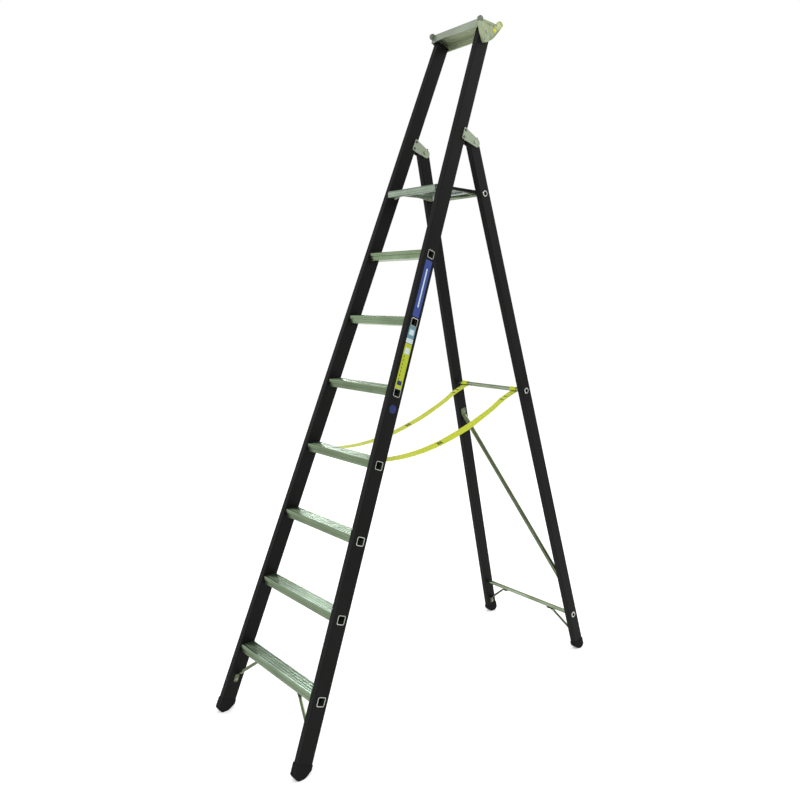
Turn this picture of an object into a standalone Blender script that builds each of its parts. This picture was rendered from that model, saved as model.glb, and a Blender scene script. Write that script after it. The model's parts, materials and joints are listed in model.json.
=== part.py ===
"""Platform stepladder: a climbing frame with seven treads, a hinged platform, and a folding rear frame.

Metres, +Z up. X runs across the ladder and Y from the climbing side to the rear. Heights are above the
ground. Side-view places are (y, z) measured from where the front stiles' centre line meets the ground;
the empty "ladder" then moves the whole object so that the origin is at the middle of its footprint.
"""

import math

import bmesh
import bpy
from mathutils import Matrix, Vector

GAP = 0.0003  # between pieces that touch
PITCH = 0.237  # from one tread's top to the next
TREADS = 7
PLATFORM_Z = PITCH * (TREADS + 1)
MID_Y = 0.7020  # middle of the footprint, behind the front stiles' foot line

# Front stiles: y of the centre line is STILE_LEAN * z, and the outer face is at HALF - SPLAY * z.
STILE_LEAN, STILE_HALF, STILE_SPLAY = 0.366, 0.2658, 0.0557
STILE_DEPTH, STILE_THICK, STILE_WALL = 0.056, 0.0257, 0.0025
STILE_START, STILE_TOP = 0.030, 2.655  # along the stile, from the ground
STILE_SHOE = (0.052, 0.0175)  # a shoe's height, and its sole's rise at both edges
# Rear legs, in the same terms.
LEG_FOOT_Y, LEG_LEAN, LEG_HALF, LEG_SPLAY = 1.4059, -0.2768, 0.2645, 0.05535
LEG_DEPTH, LEG_THICK, LEG_WALL = 0.049, 0.0245, 0.0022
LEG_START, LEG_TOP_PAST_PIVOT = 0.023, 0.014
LEG_SHOE = (0.042, 0.0140)
SHOE_WALL, SOLE_FLAT = 0.0018, 0.2  # the share of the sole's width that is flat
CORNER = 0.003  # outer corner radius of both sections

# The fold's axis, in side view, and the plates that carry it, in the stile's own depth and length.
PIVOT = (0.835, 2.063)
PLATE_THICK, PLATE_FRONT, PLATE_LOW, PLATE_HIGH = 0.003, 0.0105, 2.210, 2.256
PLATE_END, PLATE_ROUND = (0.0835, 2.2285), 0.0165
PLATE_RIVETS = ((0.0190, 2.2465), (0.0190, 2.2195))
BOLT_R, RIVET_R = 0.0045, 0.0025

TREAD_FRONT, TREAD_BACK = 0.0265, 0.0240  # from the stile's centre line to the tread's edges
TREAD_LIP, TREAD_APRON, TREAD_SKIN = 0.0142, 0.0295, 0.0035  # depths below the tread's top
APRON_SET_BACK, APRON_THICK = 0.0035, 0.0025
TREAD_GROOVES, GROOVE_PITCH, GROOVE_WIDTH, GROOVE_DEPTH = 4, 0.0110, 0.0040, 0.0018
TUBE_DROP, TUBE_SIDE, TUBE_WALL, TUBE_ROUND = 0.0184, 0.0274, 0.0011, 0.0045  # the tube under each tread
FLANGE_SIDE, FLANGE_THICK = 0.0300, 0.0015

BAR_R, BAR_WALL, BAR_FLANGE_R = 0.0085, 0.0009, 0.0118
BAR_HEIGHTS = {"platform_rod": 1.880, "strap_bar": 1.125, "lower_bar": 0.156}

TREAD_BRACE_TOP_X, TREAD_BRACE_FOOT_Z, TREAD_BRACE_R = 0.118, 0.112, 0.0056
BAR_BRACE_TOP_X, BAR_BRACE_FOOT_Z, BAR_BRACE_R = 0.124, 0.056, 0.0050
DIAGONAL_TOP_Z, DIAGONAL_FOOT_Z, DIAGONAL_R = 0.995, 0.285, 0.0096
BRACE_TAB, DIAGONAL_TAB = 0.0095, 0.0145  # half widths of the flattened ends
TAB_HALF = 0.0015  # half the thickness of a flattened end

PLATFORM_HINGE = (0.690, 1.878)
PLATFORM_FRONT, PLATFORM_BACK, NOSING_BACK = 0.655, 0.902, 0.684
DECK_THICK = 0.004
PLATFORM_HALF_FRONT, PLATFORM_HALF_BACK = 0.1330, 0.1150
CLIP_X = 0.1045

# The top rail's channel, in the stile's own depth and length, and the knobs at its ends.
RAIL_SKIN, RAIL_FRONT, RAIL_BACK, RAIL_TOP = 0.003, -0.0400, 0.0318, 2.679
RAIL_FRONT_LOW, RAIL_BACK_LOW = 2.644, 2.640
KNOB, KNOB_R, KNOB_THICK = (-0.0430, 2.6715), 0.0122, 0.012
# The hook in side view, from the knob's rear round the saddle, the tip and the belly to the stile's front.
HOOK = ((0.890, 2.527), (0.897, 2.524), (0.928, 2.5225), (0.957, 2.520), (0.964, 2.5205), (0.968, 2.528),
        (0.9725, 2.5355), (0.980, 2.538), (0.989, 2.5365), (0.995, 2.530), (0.9965, 2.5215), (0.982, 2.505),
        (0.9645, 2.486), (0.940, 2.4625), (0.917, 2.448), (0.901, 2.441), (0.890, 2.440), (0.8855, 2.444),
        (0.878, 2.464), (0.866, 2.5055), (0.8655, 2.513))
HOOK_THICK = 0.011
HOOK_RIVETS = ((-0.0050, 2.6388), (-0.0027, 2.6108))

STRAP_X, STRAP_WIDTH, STRAP_THICK, STRAP_TREAD = 0.137, 0.030, 0.0022, 4
# The strap's hanging line in side view, from the rear bar to the fourth tread.
STRAP_LINE = ((1.024, 1.088), (0.965, 1.056), (0.906, 1.029), (0.846, 1.003), (0.784, 0.981), (0.708, 0.9575),
              (0.645, 0.943), (0.588, 0.933), (0.517, 0.926), (0.455, 0.925), (0.410, 0.9275))

BLACK, ALUMINIUM = (0.030, 0.031, 0.030), (0.56, 0.60, 0.55)
RUBBER, ZINC, WEBBING = (0.018, 0.018, 0.018), (0.62, 0.64, 0.62), (0.62, 0.72, 0.05)
HOOK_PLASTIC, GREY_PLASTIC, WHITE_PLASTIC = (0.78, 0.85, 0.52), (0.35, 0.36, 0.35), (0.85, 0.86, 0.84)


# ---------------------------------------------------------------- helpers

def clear_scene():
    for obj in list(bpy.data.objects):
        bpy.data.objects.remove(obj, do_unlink=True)


def material(name, colour, roughness, metallic):
    mat = bpy.data.materials.new(name)
    mat.use_nodes = True
    shader = mat.node_tree.nodes["Principled BSDF"]
    shader.inputs["Base Color"].default_value = (*colour, 1.0)
    shader.inputs["Roughness"].default_value = roughness
    shader.inputs["Metallic"].default_value = metallic
    return mat


def add(obj):
    """Links an object to the ladder's collection."""
    LADDER.objects.link(obj)
    return obj


def baked(obj):
    """The object as shown, as a plain welded mesh in world space; the original is removed."""
    bpy.context.view_layer.update()
    shown = obj.evaluated_get(bpy.context.evaluated_depsgraph_get())
    mesh = bpy.data.meshes.new_from_object(shown)
    mesh.transform(obj.matrix_world)
    bm = bmesh.new()
    bm.from_mesh(mesh)
    bmesh.ops.remove_doubles(bm, verts=bm.verts, dist=1e-6)
    bmesh.ops.recalc_face_normals(bm, faces=bm.faces)
    bm.to_mesh(mesh)
    bm.free()
    name = obj.name
    bpy.data.objects.remove(obj, do_unlink=True)
    return add(bpy.data.objects.new(name, mesh))


def boolean(target, tool, operation):
    """Joins the tool to the target or cuts it away, and removes the tool."""
    step = target.modifiers.new(operation.lower(), "BOOLEAN")
    step.operation, step.solver, step.object = operation, "EXACT", tool
    result = baked(target)
    bpy.data.objects.remove(tool, do_unlink=True)
    return result


def union(target, *tools):
    for tool in tools:
        target = boolean(target, tool, "UNION")
    return target


def cut(target, *tools):
    for tool in tools:
        target = boolean(target, tool, "DIFFERENCE")
    return target


def prism(name, outlines, half_length, matrix):
    """Closed outlines, the first round the others, extruded both ways along the matrix's local Z."""
    curve = bpy.data.curves.new(name, "CURVE")
    curve.dimensions, curve.fill_mode, curve.extrude = "2D", "BOTH", half_length
    for outline in outlines:
        spline = curve.splines.new("POLY")
        spline.points.add(len(outline) - 1)
        spline.use_cyclic_u = True
        for point, (u, v) in zip(spline.points, outline):
            point.co = (u, v, 0, 1)
    obj = add(bpy.data.objects.new(name, curve))
    obj.matrix_world = matrix
    return baked(obj)


# The matrices that stand an outline up: its (u, v) become (y, z), and it is extruded along X.
SIDE_VIEW = Matrix(((0, 0, 1, 0), (1, 0, 0, 0), (0, 1, 0, 0), (0, 0, 0, 1)))


def rounded(width, height, radius, centre=(0, 0), steps=2):
    """A rectangle's outline with round corners."""
    points = []
    for corner, (sx, sy) in enumerate(((1, 1), (-1, 1), (-1, -1), (1, -1))):
        cx = centre[0] + sx * (width / 2 - radius)
        cy = centre[1] + sy * (height / 2 - radius)
        for i in range(steps + 1):
            a = math.pi / 2 * (corner + i / steps)
            points.append((cx + radius * math.cos(a), cy + radius * math.sin(a)))
    return points


def arc(centre, radius, start, end, steps):
    """Points on a circle, with angles in degrees."""
    angles = (math.radians(start + (end - start) * i / steps) for i in range(steps + 1))
    return [(centre[0] + radius * math.cos(a), centre[1] + radius * math.sin(a)) for a in angles]


def turned(name, profile, matrix, steps=20):
    """A solid turned about the matrix's local Z from a profile of (radius, height), top to bottom."""
    mesh = bpy.data.meshes.new(name)
    points = [(r, 0, z) for r, z in profile]
    mesh.from_pydata(points, [(i, i + 1) for i in range(len(points) - 1)], [])
    obj = add(bpy.data.objects.new(name, mesh))
    obj.matrix_world = matrix
    screw = obj.modifiers.new("turn", "SCREW")
    screw.steps = screw.render_steps = steps
    screw.use_merge_vertices, screw.merge_threshold = True, 0.00001
    return baked(obj)


def along(start, end):
    """A matrix at the middle of two points whose local Z runs from one to the other."""
    start, end = Vector(start), Vector(end)
    turn = (end - start).to_track_quat("Z", "Y").to_matrix().to_4x4()
    return Matrix.Translation((start + end) / 2) @ turn


def rod(name, start, end, radius, steps=12):
    half = (Vector(end) - Vector(start)).length / 2
    profile = [(0, half), (radius, half), (radius, -half), (0, -half)]
    return turned(name, profile, along(start, end), steps)


def loft(name, stations, side, count=10):
    """A bar through stations of (point, half width, half thickness); its width runs along side."""
    side = Vector(side).normalized()
    bm = bmesh.new()
    rings = []
    places = [Vector(p) for p, _, _ in stations]
    for i, (point, half_width, half_thick) in enumerate(stations):
        run = places[min(i + 1, len(places) - 1)] - places[max(i - 1, 0)]
        up = run.cross(side).normalized()
        ring = []
        for j in range(count):
            a = 2 * math.pi * (j + 0.5) / count
            c, s = math.cos(a), math.sin(a)
            ring.append(bm.verts.new(Vector(point) + side * half_width * c + up * half_thick * s))
        rings.append(ring)
    for low, high in zip(rings, rings[1:]):
        for j in range(count):
            k = (j + 1) % count
            bm.faces.new((low[j], low[k], high[k], high[j]))
    bm.faces.new(rings[0])
    bm.faces.new(rings[-1])
    bmesh.ops.recalc_face_normals(bm, faces=bm.faces)
    mesh = bpy.data.meshes.new(name)
    bm.to_mesh(mesh)
    bm.free()
    return add(bpy.data.objects.new(name, mesh))


def empty(name, place, parent=None):
    """A body's empty, on its joint's axis; place is in the ladder's own side-view frame."""
    obj = add(bpy.data.objects.new(name, None))
    obj.empty_display_size = 0.05
    obj["place"] = place
    obj.parent = parent
    obj.location = Vector(place) - (Vector(parent["place"]) if parent else Vector((0, MID_Y, 0)))
    return obj


def finish(obj, mat, parent):
    """Gives a piece its material and smooth shading, and hangs it on its body's empty."""
    obj.data.materials.clear()
    obj.data.materials.append(mat)
    obj.data.shade_smooth()
    obj.data.set_sharp_from_angle(angle=math.radians(35))
    obj.parent = parent
    obj.matrix_parent_inverse = Matrix.Translation(-Vector(parent["place"]))
    return obj


# ---------------------------------------------------------------- frames of the stiles and legs

def rail_frame(side, half, splay, foot_y, lean, thick):
    """A stile's own axes: X across it to the right, Y through its depth to the rear, Z up along it."""
    up = Vector((-side * splay, lean, 1)).normalized()
    across = Vector((1, 0, side * splay)).normalized()
    back = up.cross(across)
    origin = Vector((side * half, foot_y, 0)) - across * side * thick / 2
    frame = Matrix((across, back, up)).transposed().to_4x4()
    return Matrix.Translation(origin) @ frame


def stile_frame(side):
    return rail_frame(side, STILE_HALF, STILE_SPLAY, 0, STILE_LEAN, STILE_THICK)


def leg_frame(side):
    return rail_frame(side, LEG_HALF, LEG_SPLAY, LEG_FOOT_Y, LEG_LEAN, LEG_THICK)


def stile_outer(z):
    return STILE_HALF - STILE_SPLAY * z


def stile_inner(z):
    return stile_outer(z) - STILE_THICK * math.hypot(1, STILE_SPLAY)


def leg_outer(z):
    return LEG_HALF - LEG_SPLAY * z


def leg_inner(z):
    return leg_outer(z) - LEG_THICK * math.hypot(1, LEG_SPLAY)


def leg_y(z):
    return LEG_FOOT_Y + LEG_LEAN * z


LEAN_ANGLE = math.atan(STILE_LEAN)
STILE_BACK = Vector((0, math.cos(LEAN_ANGLE), -math.sin(LEAN_ANGLE)))  # through a stile's depth
STILE_UP = Vector((0, math.sin(LEAN_ANGLE), math.cos(LEAN_ANGLE)))
LEG_ANGLE = math.atan(LEG_LEAN)
LEG_BACK = Vector((0, math.cos(LEG_ANGLE), -math.sin(LEG_ANGLE)))
LEG_UP = Vector((0, math.sin(LEG_ANGLE), math.cos(LEG_ANGLE)))


def side_point(n, s):
    """(y, z) of a point n behind the stiles' centre line and s along it."""
    sin, cos = math.sin(LEAN_ANGLE), math.cos(LEAN_ANGLE)
    return s * sin + n * cos, s * cos - n * sin


def fit_ends(obj, half_at):
    """Moves an extrusion's two ends to where half_at(y, z) says, so they follow sloping walls."""
    for v in obj.data.vertices:
        v.co.x = math.copysign(half_at(v.co.y, v.co.z), v.co.x)
    return obj


# ---------------------------------------------------------------- stiles, legs and feet

def tube_cutters():
    """The square holes that the treads' tubes pass through, in both stiles."""
    turn = Matrix.Rotation(-LEAN_ANGLE, 4, "X")
    side = TUBE_SIDE + 2 * GAP
    holes = []
    for k in range(1, TREADS + 1):
        z = k * PITCH - TUBE_DROP
        at = Matrix.Translation((0, STILE_LEAN * z, z)) @ turn @ SIDE_VIEW
        holes.append(prism(f"tube_hole_{k}", [rounded(side, side, TUBE_ROUND)], 0.4, at))
    return holes


def make_stile(side, name):
    frame = stile_frame(side)
    half = (STILE_TOP - STILE_START) / 2
    outer = rounded(STILE_THICK, STILE_DEPTH, CORNER)
    inner = rounded(STILE_THICK - 2 * STILE_WALL, STILE_DEPTH - 2 * STILE_WALL, CORNER / 2)
    at = frame @ Matrix.Translation((0, 0, STILE_START + half))
    stile = prism(name, [outer, inner], half, at)
    stile = cut(stile, *tube_cutters())
    stile = cut(stile, *[rivet_hole(side, n, s) for n, s in PLATE_RIVETS])
    if side > 0:
        stile = cut(stile, *[hook_rivet_hole(n, s) for n, s in HOOK_RIVETS])
    brace_z = TREAD_BRACE_FOOT_Z
    wall = Vector((side * stile_inner(brace_z), STILE_LEAN * brace_z, brace_z))
    stile = cut(stile, cross_hole("brace_hole", wall, RIVET_R, 0.008))
    wall = Vector((side * stile_inner(PLATFORM_HINGE[1]), *PLATFORM_HINGE))
    return cut(stile, cross_hole("platform_bolt_hole", wall, BOLT_R, 0.008))


def make_leg(side, name):
    frame = leg_frame(side)
    top = leg_along(PIVOT[1]) + LEG_TOP_PAST_PIVOT
    half = (top - LEG_START) / 2
    outer = rounded(LEG_THICK, LEG_DEPTH, CORNER)
    inner = rounded(LEG_THICK - 2 * LEG_WALL, LEG_DEPTH - 2 * LEG_WALL, CORNER / 2)
    leg = prism(name, [outer, inner], half, frame @ Matrix.Translation((0, 0, LEG_START + half)))
    for z in BAR_HEIGHTS.values():
        leg = cut(leg, rod("bar_hole", (-0.4, leg_y(z), z), (0.4, leg_y(z), z), BAR_R + GAP, 16))
    leg = cut(leg, rod("bolt_hole", (-0.4, *PIVOT), (0.4, *PIVOT), BOLT_R + GAP))
    for z in (DIAGONAL_TOP_Z if side < 0 else DIAGONAL_FOOT_Z, BAR_BRACE_FOOT_Z):
        wall = Vector((side * leg_inner(z), leg_y(z), z))
        leg = cut(leg, cross_hole("brace_hole", wall, RIVET_R, 0.008))
    return leg


def leg_along(z):
    """How far along a leg's centre line a height is."""
    return z * math.sqrt(1 + LEG_LEAN**2 + LEG_SPLAY**2)


def cross_hole(name, point, radius, reach):
    """A hole's cutter along X that reaches both ways from a point."""
    x, y, z = point
    return rod(name, (x - reach, y, z), (x + reach, y, z), radius + GAP)


def shoe(name, side, frame, centre_x, splay, lean, foot_y, section, start, size):
    """A rubber foot round a rail's lower end, with a round sole that is flat where it stands."""
    depth, thick = section
    height, rise = size
    reach = depth / 2 * math.hypot(1, lean) + SHOE_WALL
    curve = []
    for u in (-1, -0.87, -0.72, -0.56, -0.40, -SOLE_FLAT, SOLE_FLAT, 0.40, 0.56, 0.72, 0.87, 1):
        z = rise * ((abs(u) - SOLE_FLAT) / (1 - SOLE_FLAT)) ** 1.7
        curve.append((u * reach + lean * z, z))
    low = height - 1.8 * reach * abs(lean)  # the collar runs nearly square to the rail
    high_y, low_y = math.copysign(reach, -lean), math.copysign(reach, lean)
    top = [(high_y + lean * height, height), (low_y + lean * low, low)]
    if lean > 0:
        top.reverse()
    outline = [(foot_y + y, z) for y, z in curve + top]
    at = Matrix.Translation((side * centre_x, 0, 0)) @ SIDE_VIEW
    foot = prism(name, [outline], thick / 2 + SHOE_WALL, at)
    for v in foot.data.vertices:
        v.co.x -= side * splay * v.co.z
    pocket = rounded(thick + 2 * GAP, depth + 2 * GAP, CORNER)
    at = frame @ Matrix.Translation((0, 0, start - GAP + 0.1))
    return cut(foot, prism("pocket", [pocket], 0.1, at))


# ---------------------------------------------------------------- treads

def tread_profile(y, z):
    """A tread's top plate in side view: a round lip over a set-back apron, and grooves along its top."""
    front, back = y - TREAD_FRONT, y + TREAD_BACK
    apron = front + APRON_SET_BACK
    points = [(apron, z - TREAD_APRON), (apron, z - TREAD_LIP), (front + 0.002, z - TREAD_LIP)]
    points += arc((front + 0.002, z - TREAD_LIP + 0.002), 0.002, 225, 180, 1)
    points += arc((front + 0.005, z - 0.005), 0.005, 180, 90, 4)
    for i in range(TREAD_GROOVES):
        at = front + 0.0075 + i * GROOVE_PITCH
        points += [(at, z), (at + 0.0005, z - GROOVE_DEPTH)]
        points += [(at + GROOVE_WIDTH - 0.0005, z - GROOVE_DEPTH), (at + GROOVE_WIDTH, z)]
    points += [(back - 0.001, z), (back, z - 0.001), (back, z - 0.010), (back - 0.0025, z - 0.010)]
    points += [(back - 0.0025, z - TREAD_SKIN), (apron + APRON_THICK, z - TREAD_SKIN)]
    return points + [(apron + APRON_THICK, z - TREAD_APRON)]


def make_tread(k):
    z = k * PITCH
    y = STILE_LEAN * z
    name = f"tread_{k}"
    plate = prism(name, [tread_profile(y, z)], 0.3, SIDE_VIEW)
    fit_ends(plate, lambda _, height: stile_inner(height) - GAP)
    centre = Vector((0, STILE_LEAN * (z - TUBE_DROP), z - TUBE_DROP))
    turn = Matrix.Rotation(-LEAN_ANGLE, 4, "X")
    reach = stile_outer(centre.z) + GAP + FLANGE_THICK / 2
    square = rounded(TUBE_SIDE, TUBE_SIDE, TUBE_ROUND)
    tube = prism("tube", [square], reach, Matrix.Translation(centre) @ turn @ SIDE_VIEW)
    tread = union(plate, tube)
    for side in (-1, 1):
        face = (side * stile_outer(centre.z), centre.y, centre.z)
        at = flange_frame(stile_frame(side), side, face)
        ring = prism("ring", [rounded(FLANGE_SIDE, FLANGE_SIDE, 0.006)], FLANGE_THICK / 2, at)
        tread = union(tread, ring)
    hollow = TUBE_SIDE - 2 * TUBE_WALL
    hollow = rounded(hollow, hollow, TUBE_ROUND - TUBE_WALL)
    bore = prism("bore", [hollow], 0.4, Matrix.Translation(centre) @ turn @ SIDE_VIEW)
    tread = cut(tread, bore)
    for side in (-1, 1):
        if k == 1:
            top = Vector((side * TREAD_BRACE_TOP_X, *tread_brace_seat()))
            reach = STILE_UP * 0.006
            tread = cut(tread, rod("rivet_hole", top - reach, top + reach, RIVET_R + GAP))
        if k == STRAP_TREAD:
            seat, reach = strap_seat(side), STILE_BACK * 0.006
            tread = cut(tread, rod("strap_hole", seat - reach, seat + reach, RIVET_R + GAP))
    return tread


def flange_frame(frame, side, face):
    """A frame just outside a point on a rail's outer face, whose local Z leaves the face."""
    local = frame.inverted() @ Vector(face)
    local.x += side * (GAP + FLANGE_THICK / 2)
    return frame @ Matrix.Translation(local) @ SIDE_VIEW


# ---------------------------------------------------------------- braces

def tread_brace_seat():
    """(y, z) of the middle of the first tread's tube, on its lower face."""
    z = PITCH - TUBE_DROP
    return (STILE_LEAN * z - math.sin(LEAN_ANGLE) * TUBE_SIDE / 2,
            z - math.cos(LEAN_ANGLE) * TUBE_SIDE / 2)


def brace(name, side, seat, up, back, top_x, wall_at, foot_z, tube_r):
    """A strut from under a cross member to a rail's inner wall, flattened and bent at both ends."""
    flat, end = (BRACE_TAB, TAB_HALF), (BRACE_TAB * 0.62, TAB_HALF)  # half widths and half thickness
    top = Vector((side * top_x, *seat)) - up * (GAP + TAB_HALF)
    upper, knee, lower = (wall_at(foot_z + dz) for dz in (0.007, 0.015, -0.010))
    foot = wall_at(foot_z)
    outward = Vector((side, 0, 0))
    bend = top + outward * 0.015
    run = knee - bend
    stations = [(top - outward * 0.010, *end), (top - outward * 0.007, *flat), (top, *flat)]
    stations += [(top + outward * 0.007, *flat), (bend, BRACE_TAB * 0.9, TAB_HALF + 0.0003)]
    stations += [(bend + run * 0.17, tube_r, tube_r), (bend + run * 0.83, tube_r, tube_r)]
    stations += [(knee, BRACE_TAB * 0.9, TAB_HALF), (upper, *flat), (foot, *flat)]
    stations += [(foot.lerp(lower, 0.7), *flat), (lower, *end)]
    strut = loft(name, stations, back, count=8)
    strut = cut(strut, rod("hole", top - up * 0.01, top + up * 0.01, RIVET_R + GAP))
    return cut(strut, cross_hole("hole", foot, RIVET_R, 0.006))


def make_tread_brace(side, name):
    def wall_at(z):
        return Vector((side * (stile_inner(z) - GAP - TAB_HALF), STILE_LEAN * z, z))

    return brace(name, side, tread_brace_seat(), STILE_UP, STILE_BACK, TREAD_BRACE_TOP_X, wall_at,
                 TREAD_BRACE_FOOT_Z, TREAD_BRACE_R)


def bar_brace_seat():
    z = BAR_HEIGHTS["lower_bar"]
    return leg_y(z) - LEG_UP.y * BAR_R, z - LEG_UP.z * BAR_R


def leg_wall(side):
    def wall_at(z):
        return Vector((side * (leg_inner(z) - GAP - TAB_HALF), leg_y(z), z))

    return wall_at


def make_bar_brace(side, name):
    return brace(name, side, bar_brace_seat(), LEG_UP, LEG_BACK, BAR_BRACE_TOP_X, leg_wall(side),
                 BAR_BRACE_FOOT_Z, BAR_BRACE_R)


def make_diagonal():
    left, right = leg_wall(-1), leg_wall(1)
    flat, end = (DIAGONAL_TAB, TAB_HALF), (DIAGONAL_TAB * 0.7, TAB_HALF)
    tube = (DIAGONAL_R, DIAGONAL_R)
    top, low = DIAGONAL_TOP_Z, DIAGONAL_FOOT_Z
    bend, low_bend = left(top - 0.018), right(low + 0.018)
    run = low_bend - bend
    stations = [(left(top + 0.015), *end), (left(top + 0.011), *flat), (left(top), *flat)]
    stations += [(left(top - 0.008), *flat), (bend, DIAGONAL_TAB * 0.9, TAB_HALF + 0.0003)]
    stations += [(bend + run * 0.05, *tube), (bend + run * 0.95, *tube)]
    stations += [(low_bend, DIAGONAL_TAB * 0.9, TAB_HALF + 0.0003), (right(low + 0.008), *flat)]
    stations += [(right(low), *flat), (right(low - 0.011), *flat), (right(low - 0.015), *end)]
    bar = loft("diagonal_brace", stations, LEG_BACK, count=10)
    holes = [cross_hole("hole", wall, RIVET_R, 0.006) for wall in (left(top), right(low))]
    return cut(bar, *holes)


# ---------------------------------------------------------------- fasteners

def headed(name, start, end, shank, head_r, head_h, tail_r=0.0, tail_h=0.0):
    """A pin from a domed head at start to end; start and end are the faces that it grips."""
    half = (Vector(end) - Vector(start)).length / 2
    profile = [(0, half + GAP + tail_h), (tail_r or shank, half + GAP + tail_h)]
    if tail_r:
        profile += [(tail_r, half + GAP), (shank, half + GAP)]
    profile += [(shank, -half - GAP), (head_r, -half - GAP), (head_r * 0.93, -half - GAP - head_h * 0.5),
                (head_r * 0.6, -half - GAP - head_h * 0.9), (0, -half - GAP - head_h)]
    return turned(name, profile, along(start, end), steps=12)


def foot_rivet(name, side, inner_at, y_at, z, wall):
    """The rivet through a brace's foot and its rail's wall."""
    face = Vector((side * (inner_at(z) - GAP - 2 * TAB_HALF), y_at(z), z))
    end = face + Vector((side * (2 * TAB_HALF + GAP + wall), 0, 0))
    return headed(name, face, end, RIVET_R, 0.0055, 0.0022)


def top_rivet(name, side, top_x, seat, up, wall):
    """The rivet through a brace's upper end and the wall of the cross member above it."""
    face = Vector((side * top_x, *seat))
    return headed(name, face - up * (GAP + 2 * TAB_HALF), face + up * wall, RIVET_R, 0.0055, 0.0022)


# ---------------------------------------------------------------- hinge brackets

def rivet_hole(side, n, s):
    frame = stile_frame(side)
    start, end = (frame @ Vector((x, n, s)) for x in (-0.05, 0.05))
    return rod("rivet_hole", start, end, RIVET_R + GAP)


def make_plate(side, name, face):
    """A bracket plate on a stile's outer (1) or inner (-1) face, with a round rear end."""
    outward = side * face
    outline = arc(PLATE_END, PLATE_ROUND, -90, 78, 8)
    outline += arc((PLATE_FRONT + 0.004, PLATE_HIGH - 0.004), 0.004, 90, 180, 3)
    outline += arc((PLATE_FRONT + 0.004, PLATE_LOW + 0.004), 0.004, 180, 270, 3)
    frame = stile_frame(side)
    shift = Matrix.Translation((outward * (STILE_THICK / 2 + GAP + PLATE_THICK / 2), 0, 0))
    plate = prism(name, [outline], PLATE_THICK / 2, frame @ shift @ SIDE_VIEW)
    plate = cut(plate, *[rivet_hole(side, n, s) for n, s in PLATE_RIVETS])
    return cut(plate, rod("bolt_hole", (-0.4, *PIVOT), (0.4, *PIVOT), BOLT_R + GAP))


def make_plate_rivet(side, name, n, s):
    frame = stile_frame(side)
    reach = STILE_THICK / 2 + GAP + PLATE_THICK
    start, end = (frame @ Vector((side * x, n, s)) for x in (reach, -reach))
    return headed(name, start, end, RIVET_R, 0.005, 0.002, 0.0045, 0.0015)


def make_pivot_bolt(side, name):
    z = PIVOT[1]
    outer = stile_outer(z) + GAP + PLATE_THICK + 0.0006
    inner = stile_inner(z) - GAP - PLATE_THICK - 0.0006
    start, end = Vector((side * outer, *PIVOT)), Vector((side * inner, *PIVOT))
    return headed(name, start, end, BOLT_R, 0.0062, 0.0014, 0.0062, 0.0025)


# ---------------------------------------------------------------- bars

def make_bar(name, z):
    """A tube across the legs whose flared ends hold it in both outer faces."""
    centre = Vector((0, leg_y(z), z))
    reach = leg_outer(z) + GAP + 0.001
    bar = rod(name, centre - Vector((reach, 0, 0)), centre + Vector((reach, 0, 0)), BAR_R, 16)
    for side in (-1, 1):
        at = flange_frame(leg_frame(side), side, (side * leg_outer(z), centre.y, z))
        half = FLANGE_THICK / 2
        profile = [(0, half), (BAR_FLANGE_R - 0.001, half), (BAR_FLANGE_R, half - 0.001),
                   (BAR_FLANGE_R, -half), (0, -half)]
        if side < 0:
            profile = [(r, -h) for r, h in reversed(profile)]
        bar = union(bar, turned("flange", profile, at, 16))
    length = Vector((0.4, 0, 0))
    bar = cut(bar, rod("bore", centre - length, centre + length, BAR_R - BAR_WALL, 16))
    if name == "lower_bar":
        for side in (-1, 1):
            seat = Vector((side * BAR_BRACE_TOP_X, *bar_brace_seat()))
            bar = cut(bar, rod("hole", seat - LEG_UP * 0.005, seat + LEG_UP * 0.005, RIVET_R + GAP))
    return bar


# ---------------------------------------------------------------- platform

def platform_half(y):
    share = (y - PLATFORM_FRONT) / (PLATFORM_BACK - PLATFORM_FRONT)
    return PLATFORM_HALF_FRONT + (PLATFORM_HALF_BACK - PLATFORM_HALF_FRONT) * share


def make_nosing():
    """The rounded front edge of the platform, hollow underneath."""
    top, low, front = PLATFORM_Z + 0.001, PLATFORM_Z - 0.026, PLATFORM_FRONT
    outline = [(NOSING_BACK, top), (front + 0.010, top)]
    outline += arc((front + 0.010, top - 0.010), 0.010, 105, 180, 5)
    outline += arc((front + 0.007, low + 0.007), 0.007, 180, 270, 4)
    outline += [(front + 0.012, low), (front + 0.012, low + 0.0025), (front + 0.007, low + 0.0025)]
    outline += [(front + 0.003, low + 0.008), (front + 0.003, top - 0.010), (front + 0.009, top - 0.0035)]
    outline += [(NOSING_BACK, top - 0.0035)]
    nosing = prism("platform_nosing", [outline], 0.3, SIDE_VIEW)
    return fit_ends(nosing, lambda y, _: platform_half(y))


def make_deck():
    """The platform's deck plate, with grooves along its top and a lip down its rear edge."""
    front, back, z = NOSING_BACK + GAP, PLATFORM_BACK, PLATFORM_Z
    outline = [(front, z - DECK_THICK), (front, z)]
    count = 11
    for i in range(count):
        at = front + (back - front) * (i + 0.7) / (count + 0.4)
        outline += [(at, z), (at + 0.0005, z - 0.0012), (at + 0.0025, z - 0.0012), (at + 0.003, z)]
    outline += arc((back - 0.002, z - 0.002), 0.002, 90, 0, 3)
    outline += [(back, z - DECK_THICK)]
    deck = prism("platform_deck", [outline], 0.3, SIDE_VIEW)
    return fit_ends(deck, lambda y, _: platform_half(y))


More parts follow.
